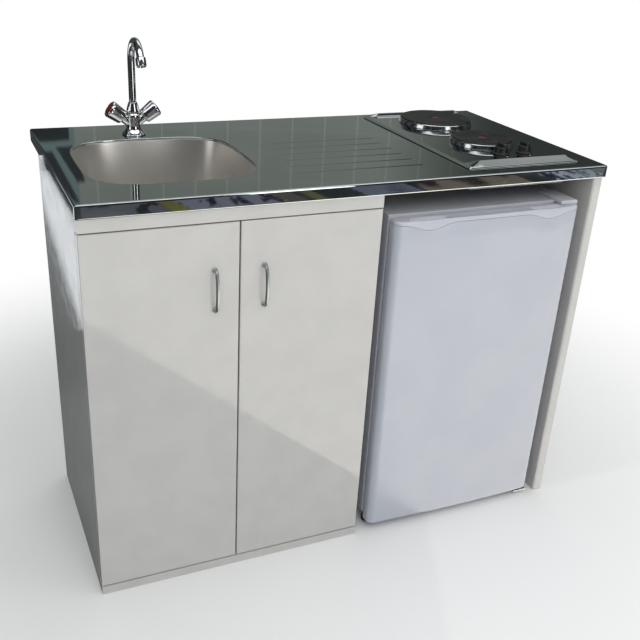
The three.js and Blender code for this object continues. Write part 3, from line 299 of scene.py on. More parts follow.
def clear(name, colour, rough):
    """Clear plastic or glass, faintly tinted; the colour is linear."""
    f = Finish(name, Transmission_Weight=1.0, IOR=1.5)
    f.two_tone((*colour, 1), (*(0.97 * c for c in colour), 1), 10)
    f.rough(f.noise(30, 3), rough, rough + 0.04)
    f.bump(f.noise(25, 2), 0.00005)
    return f


# Slot: two shades, roughness, then grain and reach where they differ.
FINE_GRAINED = {
    "tap_red": ((118, 20, 32), (104, 16, 27), 0.2),
    "tap_blue": ((34, 70, 158), (26, 58, 140), 0.2),
    "white_plastic": ((222, 222, 220), (214, 214, 212), 0.4),
    "black_plastic": ((24, 24, 25), (32, 32, 33), 0.32, 500, 0.00004),
    "hardboard": ((210, 209, 205), (205, 204, 200), 0.6, 300, 0.00004),
    "liner_plastic": ((190, 193, 201), (186, 189, 198), 0.36),
    "gasket": ((172, 175, 176), (160, 163, 164), 0.6),
    "black_paint": ((22, 23, 24), (32, 33, 34), 0.45, 260, 0.00008),
}
FINISHES = {finish.name: finish for finish in (
    worktop_steel(), satin_steel(), chrome(), galvanised(), laminate(), fridge_white(), chipboard(),
    cast_iron("rear"), clear("clear_plastic", (0.90, 0.95, 0.97), 0.12),
    clear("shelf_glass", (0.86, 0.95, 0.92), 0.02),
    *(fine_grained(name, *values) for name, values in FINE_GRAINED.items()))}
FRONT_PLATE_IRON = cast_iron("front")
PLATE_RED = fine_grained("plate_red", (112, 38, 40), (88, 34, 36), 0.5)
RING_STEEL = fine_grained("ring_steel", (214, 217, 217), (204, 208, 208), 0.11, 300, 0.000002, Metallic=1.0)
HANDLE_STEEL = fine_grained("handle_steel", (172, 177, 176), (160, 166, 166), 0.33, 400, 0.000002, Metallic=0.9)


# --- mesh forms


class Form:
    """A mesh under construction, in bench millimetres."""

    def __init__(self):
        self.points = []
        self.faces = []

    def ring(self, points):
        start = len(self.points)
        self.points.extend(Vector(p) for p in points)
        return range(start, len(self.points))

    def band(self, a, b, closed=True):
        for i in range(len(a) if closed else len(a) - 1):
            j = (i + 1) % len(a)
            self.faces.append((a[i], a[j], b[j], b[i]))

    def lid(self, ring):
        """Close a ring with a fan about its middle."""
        hub = self.ring([sum((self.points[i] for i in ring), Vector()) / len(ring)])[0]
        for i in range(len(ring)):
            self.faces.append((ring[i], ring[(i + 1) % len(ring)], hub))

    def loft(self, rings, lids=(True, True), loop=False):
        """Join closed rings in order, with a lid on the first and the last."""
        rows = [self.ring(points) for points in rings]
        for a, b in zip(rows, rows[1:] + rows[:1] if loop else rows[1:]):
            self.band(a, b)
        for wanted, row in zip(lids, (rows[0], rows[-1])):
            if wanted and not loop:
                self.lid(row)
        return self

    def turn(self, profile, base=(0, 0, 0), axis=(0, 0, 1), sides=64, loop=False,
             shape=lambda angle, height: 1):
        """Revolve (radius, height) pairs about an axis; shape(angle, height) scales the radius."""
        tilt = Vector((0, 0, 1)).rotation_difference(Vector(axis))
        rings = []
        for radius, height in profile:
            spokes = [(a, radius * shape(a, height)) for a in turns(sides)]
            rings.append([tilt @ Vector((r * cos(a), r * sin(a), height)) + Vector(base) for a, r in spokes])
        open_ends = (profile[0][0] > 0.01, profile[-1][0] > 0.01)
        return self.loft(rings, open_ends, loop=loop)

    def sweep(self, path, section, side=(1, 0, 0)):
        """Carry a section along a path; section(share) gives (across, out) pairs."""
        path = [Vector(p) for p in path]
        rings = []
        for i, p in enumerate(path):
            way = (path[min(i + 1, len(path) - 1)] - path[max(i - 1, 0)]).normalized()
            across = (Vector(side) - way * way.dot(Vector(side))).normalized()
            out = way.cross(across)
            rings.append([p + across * a + out * b for a, b in section(i / (len(path) - 1))])
        return self.loft(rings)

    def slab(self, outline, heights):
        """An upright prism of a plan outline, with a ring at each height."""
        return self.loft([at_height(outline, z) for z in heights])

    def plate(self, outline, holes=()):
        """A flat face between an outline and its holes."""
        loops = [[Vector(p) for p in loop] for loop in (outline, *holes)]
        index = [i for loop in loops for i in self.ring(loop)]
        for triangle in tessellate_polygon(loops):
            self.faces.append(tuple(index[k] for k in triangle))

    def build(self, name, body, slot, replaces=(), sharp=40, upward=False, finish=None):
        """Make the piece, hang it under its body's empty, give it the slot's finish or the one given, and hide the
        nodes it replaces.
        """
        mesh = bpy.data.meshes.new(name)
        mesh.from_pydata([W(*p) for p in self.points], [], self.faces)
        bm = bmesh.new()
        bm.from_mesh(mesh)
        bmesh.ops.remove_doubles(bm, verts=bm.verts, dist=2e-6)
        bmesh.ops.dissolve_degenerate(bm, dist=1e-6, edges=bm.edges)
        bmesh.ops.recalc_face_normals(bm, faces=bm.faces)
        if upward and sum(face.normal.z * face.calc_area() for face in bm.faces) < 0:
            bmesh.ops.reverse_faces(bm, faces=bm.faces)
        bm.to_mesh(mesh)
        bm.free()
        mesh.shade_smooth()
        mesh.set_sharp_from_angle(angle=radians(sharp))
        mesh.materials.append((finish or FINISHES[slot]).material)
        piece = add_object(name, mesh)
        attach(piece, body)
        if replaces:
            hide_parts(*replaces)
        return piece

    def press(self, name, slot, node, gauge, side=-1):
        """Build an open sheet that faces up, thickened below its face, or above it for side 1."""
        sheet = self.build(name, ROOT, slot, [node], 50, True).modifiers.new("sheet", "SOLIDIFY")
        sheet.thickness = gauge / 1000
        sheet.offset = side


def ease(points, radius, steps=4, closed=False):
    """Round the corners of a polyline; radius is one number or one for each corner."""
    count = len(points)
    radii = radius if isinstance(radius, (list, tuple)) else [radius] * count
    out = []
    for i, p in enumerate(points):
        p = Vector(p)
        if not closed and i in (0, count - 1):
            out.append(p)
            continue
        before, after = Vector(points[i - 1]) - p, Vector(points[(i + 1) % count]) - p
        reach = min(radii[i], 0.48 * before.length, 0.48 * after.length)
        if reach <= 0:
            out.append(p)
            continue
        start, end = p + before.normalized() * reach, p + after.normalized() * reach
        for k in range(steps + 1):
            t = k / steps
            out.append(start * (1 - t) ** 2 + p * 2 * t * (1 - t) + end * t * t)
    return [tuple(p) for p in out]


def rounded_box(x0, x1, y0, y1, radius, steps=6):
    """A rectangle with round corners, anticlockwise; radius may be one for each corner."""
    radii = radius if isinstance(radius, (list, tuple)) else [radius] * 4
    out = []
    for (x, y, start), r in zip(((x0, y0, 180), (x1, y0, 270), (x1, y1, 0), (x0, y1, 90)), radii):
        cx, cy = (x + r if x == x0 else x - r), (y + r if y == y0 else y - r)
        for k in range(steps + 1):
            a = radians(start + 90 * k / steps)
            out.append((cx + r * cos(a), cy + r * sin(a)))
    return out


def at_height(outline, z):
    return [(x, y, z) for x, y in outline]


def oval(wide, high, count):
    """Points round an ellipse of those half widths."""
    return [(wide * cos(a), high * sin(a)) for a in turns(count)]


def between(a, b, shares):
    """Points on the line from a to b, at those shares of it."""
    return [(blend(a[0], b[0], t), blend(a[1], b[1], t)) for t in shares]


def refine(profile, step):
    """Extra points along a profile, at most a step apart."""
    out = [profile[0]]
    for a, b in zip(profile, profile[1:]):
        count = max(1, ceil(hypot(b[0] - a[0], b[1] - a[1]) / step))
        out += between(a, b, [k / count for k in range(1, count + 1)])
    return out


def curve_through(points, steps):
    """Catmull-Rom points through a polyline."""
    ends = [points[0], *points, points[-1]]
    out = []
    for a, b, c, d in zip(ends, ends[1:], ends[2:], ends[3:]):
        for k in range(steps):
            t = k / steps
            out.append(tuple(0.5 * (2 * q + (r - p) * t + (2 * p - 5 * q + 4 * r - s) * t * t
                                    + (3 * q - p - 3 * r + s) * t ** 3) for p, q, r, s in zip(a, b, c, d)))
    out.append(points[-1])
    return out


def quarter(steps):
    """Shares of (1 - sin, 1 - cos) over a quarter turn: how a rolled edge falls away."""
    angles = [pi / 2 * k / steps for k in range(steps + 1)]
    return [(sin(a), 1 - cos(a)) for a in angles]


# --- worktop


def worktop_edge(inset, z):
    """The sheet's outline, with points near the corners that keep its sides flat."""
    corner = max(0.8, 5 - inset)
    outline = rounded_box(inset, WIDTH - inset, inset, DEPTH - inset, corner)
    points = []
    for a, b in zip(outline, outline[1:] + outline[:1]):
        points.append(a)
        if dist(a, b) > 100:
            points += between(a, b, (0.006, 0.994))
    return at_height(points, z)


def bowl_outline(grow, z, power=BOWL_POWER, sides=160):
    points = []
    for a in turns(sides):
        across = abs(cos(a) / (BOWL_HALF_X + grow)) ** power
        along = abs(sin(a) / (BOWL_HALF_Y + grow)) ** power
        r = (across + along) ** (-1 / power)
        points.append((BOWL_X + r * cos(a), BOWL_Y + r * sin(a), z))
    return points


def groove_outline(row, half, z):
    """A stadium about one drainer groove, with pointed ends."""
    y = GROOVE_Y + row * GROOVE_PITCH
    left, right = GROOVE_LEFT + row * GROOVE_SLANT + 8, GROOVE_RIGHT - 8
    points = []
    for end, other, way in ((left, right, 1), (right, left, -1)):
        for k in range(13):
            a = pi / 2 * way + pi * k / 12
            points.append((end + 2.2 * half * cos(a), y + half * sin(a), z))
        points += [(blend(end, other, k / 12), y - half * way, z) for k in range(1, 12)]
    return points


def make_worktop():
    """One pressed sheet: rolled outer edge and apron, lipped bowl opening, drainer grooves."""
    support = 1.5
    lip = 2.6
    f = Form()
    flat_edge = worktop_edge(TOP_ROLL + support, HEIGHT)
    flat_bowl = bowl_outline(lip + support, HEIGHT)
    grooves = [groove_outline(row, GROOVE_HALF + 1.2, HEIGHT) for row in range(GROOVES)]
    x0, x1, y0, y1 = HOB_OPENING
    hob_hole = [at_height(rounded_box(x0 - d, x1 + d, y0 - d, y1 + d, 12 + d), HEIGHT) for d in (1.2, 0)]
    tap_hole = [[(TAP_X + x, TAP_Y + y, HEIGHT) for x, y in oval(r, r, 32)] for r in (19.2, 18)]
    f.plate(flat_edge, [flat_bowl, hob_hole[0], tap_hole[0], *grooves])
    f.loft(hob_hole, (False, False))
    f.loft(tap_hole, (False, False))

    edge = [flat_edge, *(worktop_edge(TOP_ROLL * (1 - s), HEIGHT - TOP_ROLL * d) for s, d in quarter(8))]
    edge += [worktop_edge(0, z) for z in (895, 886, 877, APRON_FOOT + 2, APRON_FOOT + 1)]
    edge += [worktop_edge(0.3, APRON_FOOT + 0.3), worktop_edge(1, APRON_FOOT)]
    f.loft(edge, (False, False))

    mouth = [flat_bowl, *(bowl_outline(lip * (1 - s), HEIGHT - lip * d) for s, d in quarter(7))]
    mouth.append(bowl_outline(0, HEIGHT - 4))
    f.loft(mouth, (False, False))

    for row, rim in enumerate(grooves):
        rings = [rim]
        for k in range(9):
            share = 1 - k / 8
            depth = GROOVE_DEPTH / 2 * (1 + cos(pi * share))
            rings.append(groove_outline(row, max(GROOVE_HALF * share, 0.05), HEIGHT - depth))
        f.loft(rings, (False, True))
    f.press("worktop_sheet", "worktop_steel", "worktop", SHEET)


def bowl_power(grow):
    """The outline's power, which falls as the wall runs in towards the floor."""
    share = min(1, max(0, -grow / 119))
    return BOWL_POWER - 1.7 * share ** 0.9


def make_bowl():
    """Pressed bowl: flange under the sheet, drafted walls and a wide radius at the foot."""
    wall = ease([(8, 895.4), (0.4, 895.4), (-16, 786), (-24, 753), (-159, WASTE_TOP)], [0, 1.6, 30, 26, 0], 10)
    sections = []
    for a, b in zip(wall, wall[1:]):
        steps = max(1, int(hypot(b[0] - a[0], b[1] - a[1]) / 9))
        sections += between(a, b, [k / steps for k in range(steps)])
    floor_edge = -137  # the waste's flange covers the rest
    sections = [s for s in sections if s[0] > floor_edge]
    sections.append((floor_edge, WASTE_TOP + 0.4))
    f = Form()
    f.loft([bowl_outline(grow, z, bowl_power(grow)) for grow, z in sections], (False, False))
    f.press("sink_bowl_pressed", "satin_steel", "sink_bowl", SHEET)


def make_waste():
    centre = (BOWL_X, BOWL_Y, WASTE_TOP)
    outer = [(17.5, -70), (20, -70), (20, -42), (37, -36), (37, 0.4), (54, 0.5), (53.4, 1.6), (49, 2.2),
             (43, 1.6), (39.4, -0.6), (34, -3), (34, -33), (17.5, -40)]
    f = Form().turn(ease(outer, 1.2, 3, True), centre, sides=96, loop=True)
    f.build("sink_waste_flange", ROOT, "chrome", ["sink_waste"])

    cup = ease([(0, -27), (28, -27), (32.5, -3), (36.5, 1), (36.5, 2.2), (31.5, -1.8), (27, -25.5), (3.2, -25.5),
                (3, -9), (7.4, -5.5), (7.2, -2.2), (4, -1), (0, -0.9)], 1.6, 3)
    f = Form().turn(cup, centre, sides=72)
    for ring, count in ((15, 6), (21.5, 10)):
        for x, y in oval(ring, ring, count):
            spot = (BOWL_X + x, BOWL_Y + y, WASTE_TOP - 25.4)
            f.turn(ease([(0, -0.6), (2.4, -0.6), (2.4, 0), (1.6, 0.15), (0, 0.1)], 0.2, 2), spot, sides=14)
    f.build("waste_strainer_cup", "waste_strainer", "chrome", ["waste_strainer"])


def make_trap():
    top = WASTE_TOP - 70.3
    bottle = ease([(0, -112), (26, -112), (31, -106), (31, -90), (34, -90), (34, -76), (31, -76), (31, -30),
                   (22, -22), (27, -22), (27, 0), (0, 0)], 2, 3)
    outlet = ease([(0, 0), (16, 0), (16, 34), (22, 36), (22, 52), (16, 54), (16, 190), (0, 190)], 1.5, 3)
    f = Form().turn(bottle, (BOWL_X, BOWL_Y, top), sides=48)
    f.turn(outlet, (BOWL_X, BOWL_Y, top - 50), (0, 1, 0), 40)
    f.build("waste_trap_bottle", ROOT, "white_plastic", ["waste_trap"])


# --- mixer tap

VALVE = Vector((TAP_X, TAP_Y, HEIGHT + 22))


def valve_axis(side):
    a = radians(TILT)
    return Vector((side * cos(a), 0, sin(a)))


def flute(angle, height):
    """Six shallow flutes that fade towards the foot of a handle."""
    wave = 0.5 - 0.5 * cos(6 * angle)
    return 1 - 0.055 * (wave ** 3) * min(1, max(0, (height - 3) / 10))


def make_tap_body():
    """Waisted housing with two tilted valve seats, its shank and the nut under the worktop."""
    base = (TAP_X, TAP_Y, HEIGHT)
    body = ease([(0, 0.4), (27, 0.4), (27, 2.6), (22.5, 6.5), (17, 14), (15.5, 22), (17, 37), (17, 45), (13.8, 50),
                 (0, 50)], [0, 1, 2, 4, 8, 8, 6, 3, 1, 0], 5)
    f = Form().turn(body, base, sides=80)
    seat = ease([(0, 4), (11, 4), (11, 28), (12.4, 29.4), (12.4, 30.7), (0, 30.7)], 0.8, 3)
    for side in (-1, 1):
        f.turn(seat, VALVE, valve_axis(side), 48)
    f.turn(ease([(0, -52), (16, -52), (16, 0.5), (0, 0.5)], 1, 2), base, sides=40)
    f.turn(ease([(0, -36), (25, -36), (25, -28), (0, -28)], 1, 2), base, sides=6)
    f.build("tap_housing", ROOT, "chrome", ["tap_body"])


def make_tap_handles():
    end = GRIP_LENGTH
    shell = ease([(0, 0), (15.5, 0), (16.8, 1.5), (19.6, end - 7), (19.6, end - 3), (17.5, end), (14.4, end),
                  (14.4, end - 1.4), (0, end - 1.4)], [0, 0.6, 1, 3, 2.4, 2, 0.5, 0.3, 0], 5)
    cap = ease([(0, 0), (14, 0), (14, 1.3), (10, 2.3), (0, 2.8)], [0, 0.4, 0.8, 3, 0], 4)
    for name, side, slot in (("hot", -1, "tap_red"), ("cold", 1, "tap_blue")):
        axis = valve_axis(side)
        foot = VALVE + axis * 31
        node = f"tap_handle_{name}"
        Form().turn(refine(shell, 3), foot, axis, 96, shape=flute).build(f"{node}_grip", node, "chrome", [node])
        Form().turn(cap, foot + axis * (end - 1.1), axis, 56).build(
            f"tap_cap_{name}_disc", node, slot, [f"tap_cap_{name}"])


def make_spout():
    """Collar, swan-neck tube and the nozzle at its end."""
    base = Vector((TAP_X, TAP_Y, HEIGHT + 50.3))
    collar = ease([(8.6, 0), (15, 0), (15, 6), (13, 14), (9.8, 23.5), (8.6, 24)], [0, 0.8, 2, 5, 1, 0], 5)
    Form().turn(collar, base, sides=72, loop=True).build(
        "tap_collar_ring", "tap_spout", "chrome", ["tap_collar"])

    path = [base, (TAP_X, TAP_Y, HEIGHT + 90), (TAP_X, TAP_Y, HEIGHT + 130)]
    for k in range(37):
        a = radians(SWEEP * k / 36)
        path.append((TAP_X, TAP_Y - BEND + BEND * cos(a), HEIGHT + RISE + BEND * sin(a)))
    tube = oval(PIPE, PIPE, 36)
    Form().sweep(path, lambda share: tube).build("tap_spout_tube", "tap_spout", "chrome", ["tap_spout"])

    end = radians(SWEEP)
    way = (0, -sin(end), cos(end))
    nozzle = ease([(8.5, -2), (10, -2), (11.2, 0), (11.4, 15.5), (10.4, 18), (8.6, 18), (8.2, 15.5), (0, 15.5)],
                  [0, 0.4, 1, 1, 1, 0.4, 0.4, 0], 3)
    Form().turn([(0, -0.2), (8.5, -0.2), *nozzle], path[-1], way, 60).build(
        "tap_aerator_nozzle", "tap_spout", "chrome", ["tap_aerator"])


# --- hob


def height_at(profile, where):
    """The height of a profile of (place, height) pairs at a place."""
    for (a, za), (b, zb) in zip(profile, profile[1:]):
        if a <= where <= b:
            return za if b == a else blend(za, zb, (where - a) / (b - a))
    return profile[-1][1]


def soft_min(a, b, width):
    """The smaller of two heights, rounded off where they nearly meet."""
    gap = max(0.0, 1 - abs(a - b) / width)
    return min(a, b) - width * gap * gap / 4


def make_hob():
    """Pressed pan: a ridge along the front and back whose ends fall away, bevelled sides."""
    front, back, left, right = HOB_FRONT, HOB_BACK, HOB_LEFT, HOB_RIGHT
    section = ease([(front, 903.6), (front + 1, 904.2), (front + 24, HOB_RIDGE), (front + 28, HOB_RIDGE),
                    (front + 34, HOB_FIELD), (back - 17, HOB_FIELD), (back - 9, HOB_RIDGE), (back - 6, HOB_RIDGE),
                    (back - 0.8, 905.6), (back, 905)], [0, 1, 2.4, 2.4, 2.6, 3, 2.4, 2.4, 1, 0], 4)
    sides = ease([(left, 902), (left + 6, 906.3), (left + 40, 913.4), (right - 24, 913.4), (right - 6, 906.3),
                  (right, 902)], [0, 1.6, 1.6, 1.6, 1.6, 0], 4)
    ys = sorted({round(y, 3) for y, _ in refine(section, 12)})
    xs = sorted({round(x, 3) for x, _ in refine(sides, 10)})
    f = Form()
    rows = [f.ring((x, y, soft_min(height_at(section, y), height_at(sides, x), 0.7)) for x in xs) for y in ys]
    for a, b in zip(rows, rows[1:]):
        f.band(a, b, False)
    border = list(rows[0]) + [r[-1] for r in rows[1:]] + list(rows[-1])[-2::-1] + [r[0] for r in rows[-2:0:-1]]
    skirt = f.ring([(f.points[i].x, f.points[i].y, 900.5) for i in border])
    f.band(border, skirt)
    f.press("hob_pan_pressed", "worktop_steel", "hob_pan", 0.9)


def make_hotplates():
    """Cast plates, each with a steel spill ring and a red mark in its hollow."""
    low = HOB_FIELD + 0.3 - PLATE_TOP
    for name, (y, radius) in PLATES.items():
        rim = [(0, -19), (radius - 8, -19), (radius - 8, -13), (radius, -13), (radius, -1.6), (radius - 1.6, 0),
               (20, 0), (14, -1.2), (0, -1.2)]
        plate = refine(ease(rim, [0, 1, 1, 1, 1.4, 1.4, 2.5, 2.5, 0], 4), 8)
        iron = FRONT_PLATE_IRON if name == "front" else None
        Form().turn(plate, (PLATE_X, y, PLATE_TOP), sides=128).build(
            f"hotplate_{name}_cast", ROOT, "cast_iron", [f"hotplate_{name}"], 30, finish=iron)
        ring = ease([(radius + 0.5, low), (radius + 4.4, low), (radius + 4.4, low + 2), (radius + 2.6, -4.6),
                     (radius + 1.6, -3), (radius + 0.5, -3.2)], [0.3, 0.8, 3, 3, 0.8, 0.4], 4, True)
        Form().turn(ring, (PLATE_X, y, PLATE_TOP), sides=128, loop=True).build(
            f"hotplate_ring_{name}_band", ROOT, "chrome", [f"hotplate_ring_{name}"], finish=RING_STEEL)
        dot = ease([(0, -0.2), (9, -0.2), (9, 0.25), (0, 0.35)], 0.2, 2)
        Form().turn(dot, (PLATE_X, y, PLATE_TOP - 1.2), sides=48).build(
            f"hotplate_{name}_mark", ROOT, "tap_red", finish=PLATE_RED)


def make_knobs():
    """Skirted knobs with a raised finger bar, a white mark before each, and the pan's screw."""
    base = HOB_FIELD + 0.3
    for name, x in KNOBS.items():
        node = f"hob_knob_{name}"
        body = ease([(0, -2), (3, -2), (3, 0), (20, 0), (20, 2), (16.2, 4), (15.5, 15), (14, 17), (0, 17)],
                    [0, 0, 0, 0.4, 1, 1.5, 3, 1.5, 0], 4)
        f = Form().turn(body, (x, KNOB_Y, base), sides=72)
        rings = []
        for inset, z in ease([(0, 12), (0, 21.5), (0.8, 24), (2.6, 24)], [0, 0.5, 1.2, 0], 3):
            wide, deep = 5 - inset, 14.5 - inset
            outline = rounded_box(x - wide, x + wide, KNOB_Y - deep, KNOB_Y + deep, max(0.6, 4.2 - inset), 5)
            rings.append(at_height(outline, base + z))
        f.loft(rings)
        f.build(f"{node}_grip", node, "black_plastic", [node])
        pointer = rounded_box(x - 0.7, x + 0.7, KNOB_Y - 13.6, KNOB_Y - 8, 0.5, 3)
        Form().slab(pointer, (base + 23.7, base + 24)).build(f"{node}_line", node, "white_plastic")
        mark = ease([(0, -0.1), (1.9, -0.1), (1.9, 0.12), (0, 0.2)], 0.1, 2)
        Form().turn(mark, (x, KNOB_Y - 26, HOB_FIELD), sides=24).build(f"hob_mark_{name}", ROOT, "white_plastic")
    head = ease([(0, 0), (3.2, 0), (3.2, 0.9), (2.4, 1.5), (0, 1.7)], 0.5, 3)
    Form().turn(head, (1124, 214, HOB_FIELD), sides=28).build("hob_screw", ROOT, "black_plastic")


# --- bow handles


def make_handle(name, side):
    """A slim flattened bar that arches between two turned feet."""
    x = SPLIT + side * BOW_FROM_SPLIT
    leg = [(out, BOW_HALF - drop) for out, drop in ((2.5, 0.5), (7.5, 0.2), (12.4, 3.4), (16.2, 12), (18.8, 25))]
    shape = leg + [(20, 0)] + [(out, -up) for out, up in reversed(leg)]
    path = [(x, DOOR_FACE - out, BOW_Z + up) for out, up in curve_through(shape, 7)]

    def section(share):
        middle = sin(pi * share) ** 0.6
        return oval(blend(3.2, 3.9, middle), blend(3.2, 2.9, middle), 24)

    f = Form().sweep(path, section)
    foot = ease([(0, 0.3), (5.4, 0.3), (5.4, 1.8), (4.4, 3.2), (3.5, 5), (3.4, 8), (3.4, 9.6), (2.6, 11),
                 (0, 11.4)], [0, 0.4, 1, 1, 1.5, 1.5, 2, 2.5, 0], 4)
    for up in (-BOW_HALF, BOW_HALF):
        f.turn(foot, (x, DOOR_FACE, BOW_Z + up), (0, -1, 0), 40)
    f.build(f"handle_{name}_bow", f"door_{name}", "chrome", [f"handle_{name}"], finish=HANDLE_STEEL)


# --- refrigerator door

DOOR_MIDDLE = (FRIDGE_LEFT + FRIDGE_RIGHT) / 2


def door_outline(front_inset, side_inset, z):
    """Plan of the door: crowned front, round front corners, flat back; z is a height or a function of x."""
    left, right = FRIDGE_LEFT + side_inset, FRIDGE_RIGHT - side_inset
    front = DOOR_FRONT + front_inset
    start = front + DOOR_CROWN + DOOR_ROUND  # where a side turns into its round corner
    flat = (right - left) / 2 - DOOR_ROUND
    side = [(left, DOOR_BACK), (left, blend(DOOR_BACK, start, 0.5))]
    side += [(left + DOOR_ROUND * d, start - DOOR_ROUND * s) for s, d in quarter(9)]
    crown = [(DOOR_MIDDLE + flat * k / 16, front + DOOR_CROWN * (k / 16) ** 2) for k in range(-15, 16)]
    mirrored = [(2 * DOOR_MIDDLE - x, y) for x, y in reversed(side)]
    back = [(blend(right, left, k / 12), DOOR_BACK) for k in range(1, 12)]
    return [(x, min(y, DOOR_BACK), z(x) if callable(z) else z) for x, y in side + crown + mirrored + back]


def cap_edge(x):
    """The cap's lower edge, which dips under each finger grip."""
    away = abs(abs(x - DOOR_MIDDLE) - GRIP_OFFSET) / 66
    return DOOR_TOP - 8.5 - (7.2 * (1 + cos(pi * away)) if away < 1 else 0)


def seam(inset, rise):
    """The door's outline along the cap's lower edge, raised a little."""
    return door_outline(inset, inset, lambda x: cap_edge(x) + rise)


def grip_outline(side, shrink, z):
    """A blunt oval about one finger grip, by how much smaller it is than the grip."""
    points = []
    for a in turns(44):
        bulge = copysign(abs(sin(a)) ** 0.75, sin(a))
        points.append((DOOR_MIDDLE + side * GRIP_OFFSET + (GRIP_HALF - shrink * 1.6) * cos(a),
                       GRIP_Y + (GRIP_REACH - shrink) * bulge, z))
    return points


def make_fridge_door():
    """The painted skin, up to a hairline seam under the cap."""
    low = DOOR_BOTTOM + 12
    rings = [door_outline(12 * (1 - s), 6 * (1 - s), DOOR_BOTTOM + 12 * d) for s, d in quarter(8)]
    for share in (0.1, 0.3, 0.5, 0.7, 0.85, 0.95):
        rings.append(door_outline(0, 0, lambda x, s=share: blend(low, cap_edge(x) - 1.2, s)))
    rings += [seam(0, -1.2), seam(0.25, -0.85), seam(1.0, -0.7)]
    Form().loft(rings).build("fridge_door_skin", "fridge_door", "fridge_white", ["fridge_door"])


def make_door_cap():
    """The moulding on top of the door, with its wavy lower edge and two finger grips."""
    f = Form()
    rings = [seam(1.0, 0), seam(0.25, 0.15), seam(0, 0.5)]
    for share in (0.35, 0.7, 1):
        rings.append(door_outline(0, 0, lambda x, s=share: blend(cap_edge(x) + 0.5, DOOR_TOP - 4, s)))
    rings += [door_outline(4 * d, 2 * d, DOOR_TOP - 4 + 4 * s) for s, d in quarter(6)[1:]]
    f.loft(rings, (True, False))
    f.plate(rings[-1], [grip_outline(side, -1.0, DOOR_TOP) for side in (-1, 1)])
    pocket = ((-1.0, 0), (-0.3, 0.3), (0, 1.2), (0.6, GRIP_DEPTH - 2), (2.2, GRIP_DEPTH - 0.3), (4.5, GRIP_DEPTH))
    for side in (-1, 1):
        f.loft([grip_outline(side, shrink, DOOR_TOP - deep) for shrink, deep in pocket], (False, True))
    f.build("fridge_door_cap_moulding", "fridge_door", "liner_plastic", ["fridge_door_cap"])


# --- refrigerator's small parts


def make_thermostat():
    knob = ease([(0, -8), (3, -8), (3, 0), (16, 0), (15.2, 8.4), (13.5, 10), (0, 10)], [0, 0, 0, 0.5, 1, 1.4, 0], 4)
    axis_y, axis_z = FRIDGE_FRONT + 170, 718
    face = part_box("thermostat_knob")[1].x * 1000 + FRAME_ORIGIN[0] - 8
    f = Form().turn(refine(knob, 4), (face, axis_y, axis_z), (-1, 0, 0), 72,
                    shape=lambda a, h: 1 - 0.03 * (0.5 + 0.5 * cos(18 * a)) * (1 < h < 9))
    rib = rounded_box(axis_y - 1.4, axis_y + 1.4, axis_z, axis_z + 13, 1.2, 4)
    f.loft([[(x, y, z) for y, z in rib] for x in (face - 9, face - 11.4, face - 12)])
    f.build("thermostat_dial", "thermostat_knob", "white_plastic", ["thermostat_knob"])


def make_fridge_feet():
    for name, x in (("left", FRIDGE_LEFT + 25), ("right", FRIDGE_RIGHT - 61)):
        foot = ease([(0, 0), (15, 0), (15, 9), (12, 12), (6, 13), (6, 39.7), (0, 39.7)],
                    [0, 1, 1.5, 1.5, 1, 0.5, 0], 4)
        Form().turn(foot, (x, FRIDGE_FRONT + 16, 0), sides=48).build(
            f"fridge_foot_{name}_pad", ROOT, "black_plastic", [f"fridge_foot_{name}"])


def make_condenser():
    """One tube in six runs, from its tail at the compressor, held by two straps."""
    coil_left, coil_right, coil_y = FRIDGE_LEFT + 35, FRIDGE_RIGHT - 35, FRIDGE_BACK + 7.2
    low, pitch, runs = 300, 76, 6
    tail = coil_right - 60
    path = [(tail, 150), (tail, 200), (tail, 250), (tail, low - 24), (tail - 4, low - 8), (tail - 14, low - 1.5),
            (tail - 26, low)]
    for run in range(runs):
        z = low + run * pitch
        ends = (coil_right, coil_left) if run % 2 == 0 else (coil_left, coil_right)
        if run:
            path.append((ends[0], z))
        path += [(blend(*ends, k / 8), z) for k in range(1 if run else 3, 9)]
        if run == runs - 1:
            continue
        way = -1 if run % 2 == 0 else 1
        for k in range(1, 10):
            a = pi * k / 10
            path.append((ends[1] + way * 0.8 * pitch / 2 * sin(a), z + pitch / 2 * (1 - cos(a))))
    tube = oval(2.8, 2.8, 14)
    f = Form().sweep([(x, coil_y, z) for x, z in path], lambda share: tube, side=(0, 1, 0))
    for x in (coil_left + 50, coil_right - 50):
        strap = rounded_box(x - 5, x + 5, FRIDGE_BACK + 0.3, coil_y, 1, 3)
        f.slab(strap, (low - 8, low + (runs - 1) * pitch + 8))
    f.build("condenser_coil", ROOT, "black_paint", ["condenser"])


def make_compressor():
    """Welded pot on four rubber feet and the cross plate they stand on."""
    x, y, z = 940, FRIDGE_BACK - 58, FRIDGE_FOOT
    pot = ease([(0, 15), (40, 15), (53, 32), (53, 85), (55, 85), (55, 90), (52, 92), (50, 116), (38, 135),
                (0, 143)], [0, 8, 12, 0.5, 0.5, 0.5, 1, 14, 16, 0], 5)
    f = Form().turn(pot, (x, y, z), sides=72)
    foot = ease([(0, 2), (8, 2), (7, 9), (8, 16), (0, 16)], 1.5, 3)
    for dx, dy in ((-48, -32), (-48, 32), (48, -32), (48, 32)):
        f.turn(foot, (x + dx, y + dy, z), sides=24)
    f.slab(rounded_box(x - 60, x + 60, y - 42, y + 42, 8), (z + 15, z + 18))
    plate = rounded_box(FRIDGE_LEFT + 25.3, FRIDGE_RIGHT - 25.3, FRIDGE_BACK - 105, FRIDGE_BACK - 4, 3)
    f.slab(plate, (z, z + 3))
    f.build("compressor_pot", ROOT, "black_paint", ["compressor"])


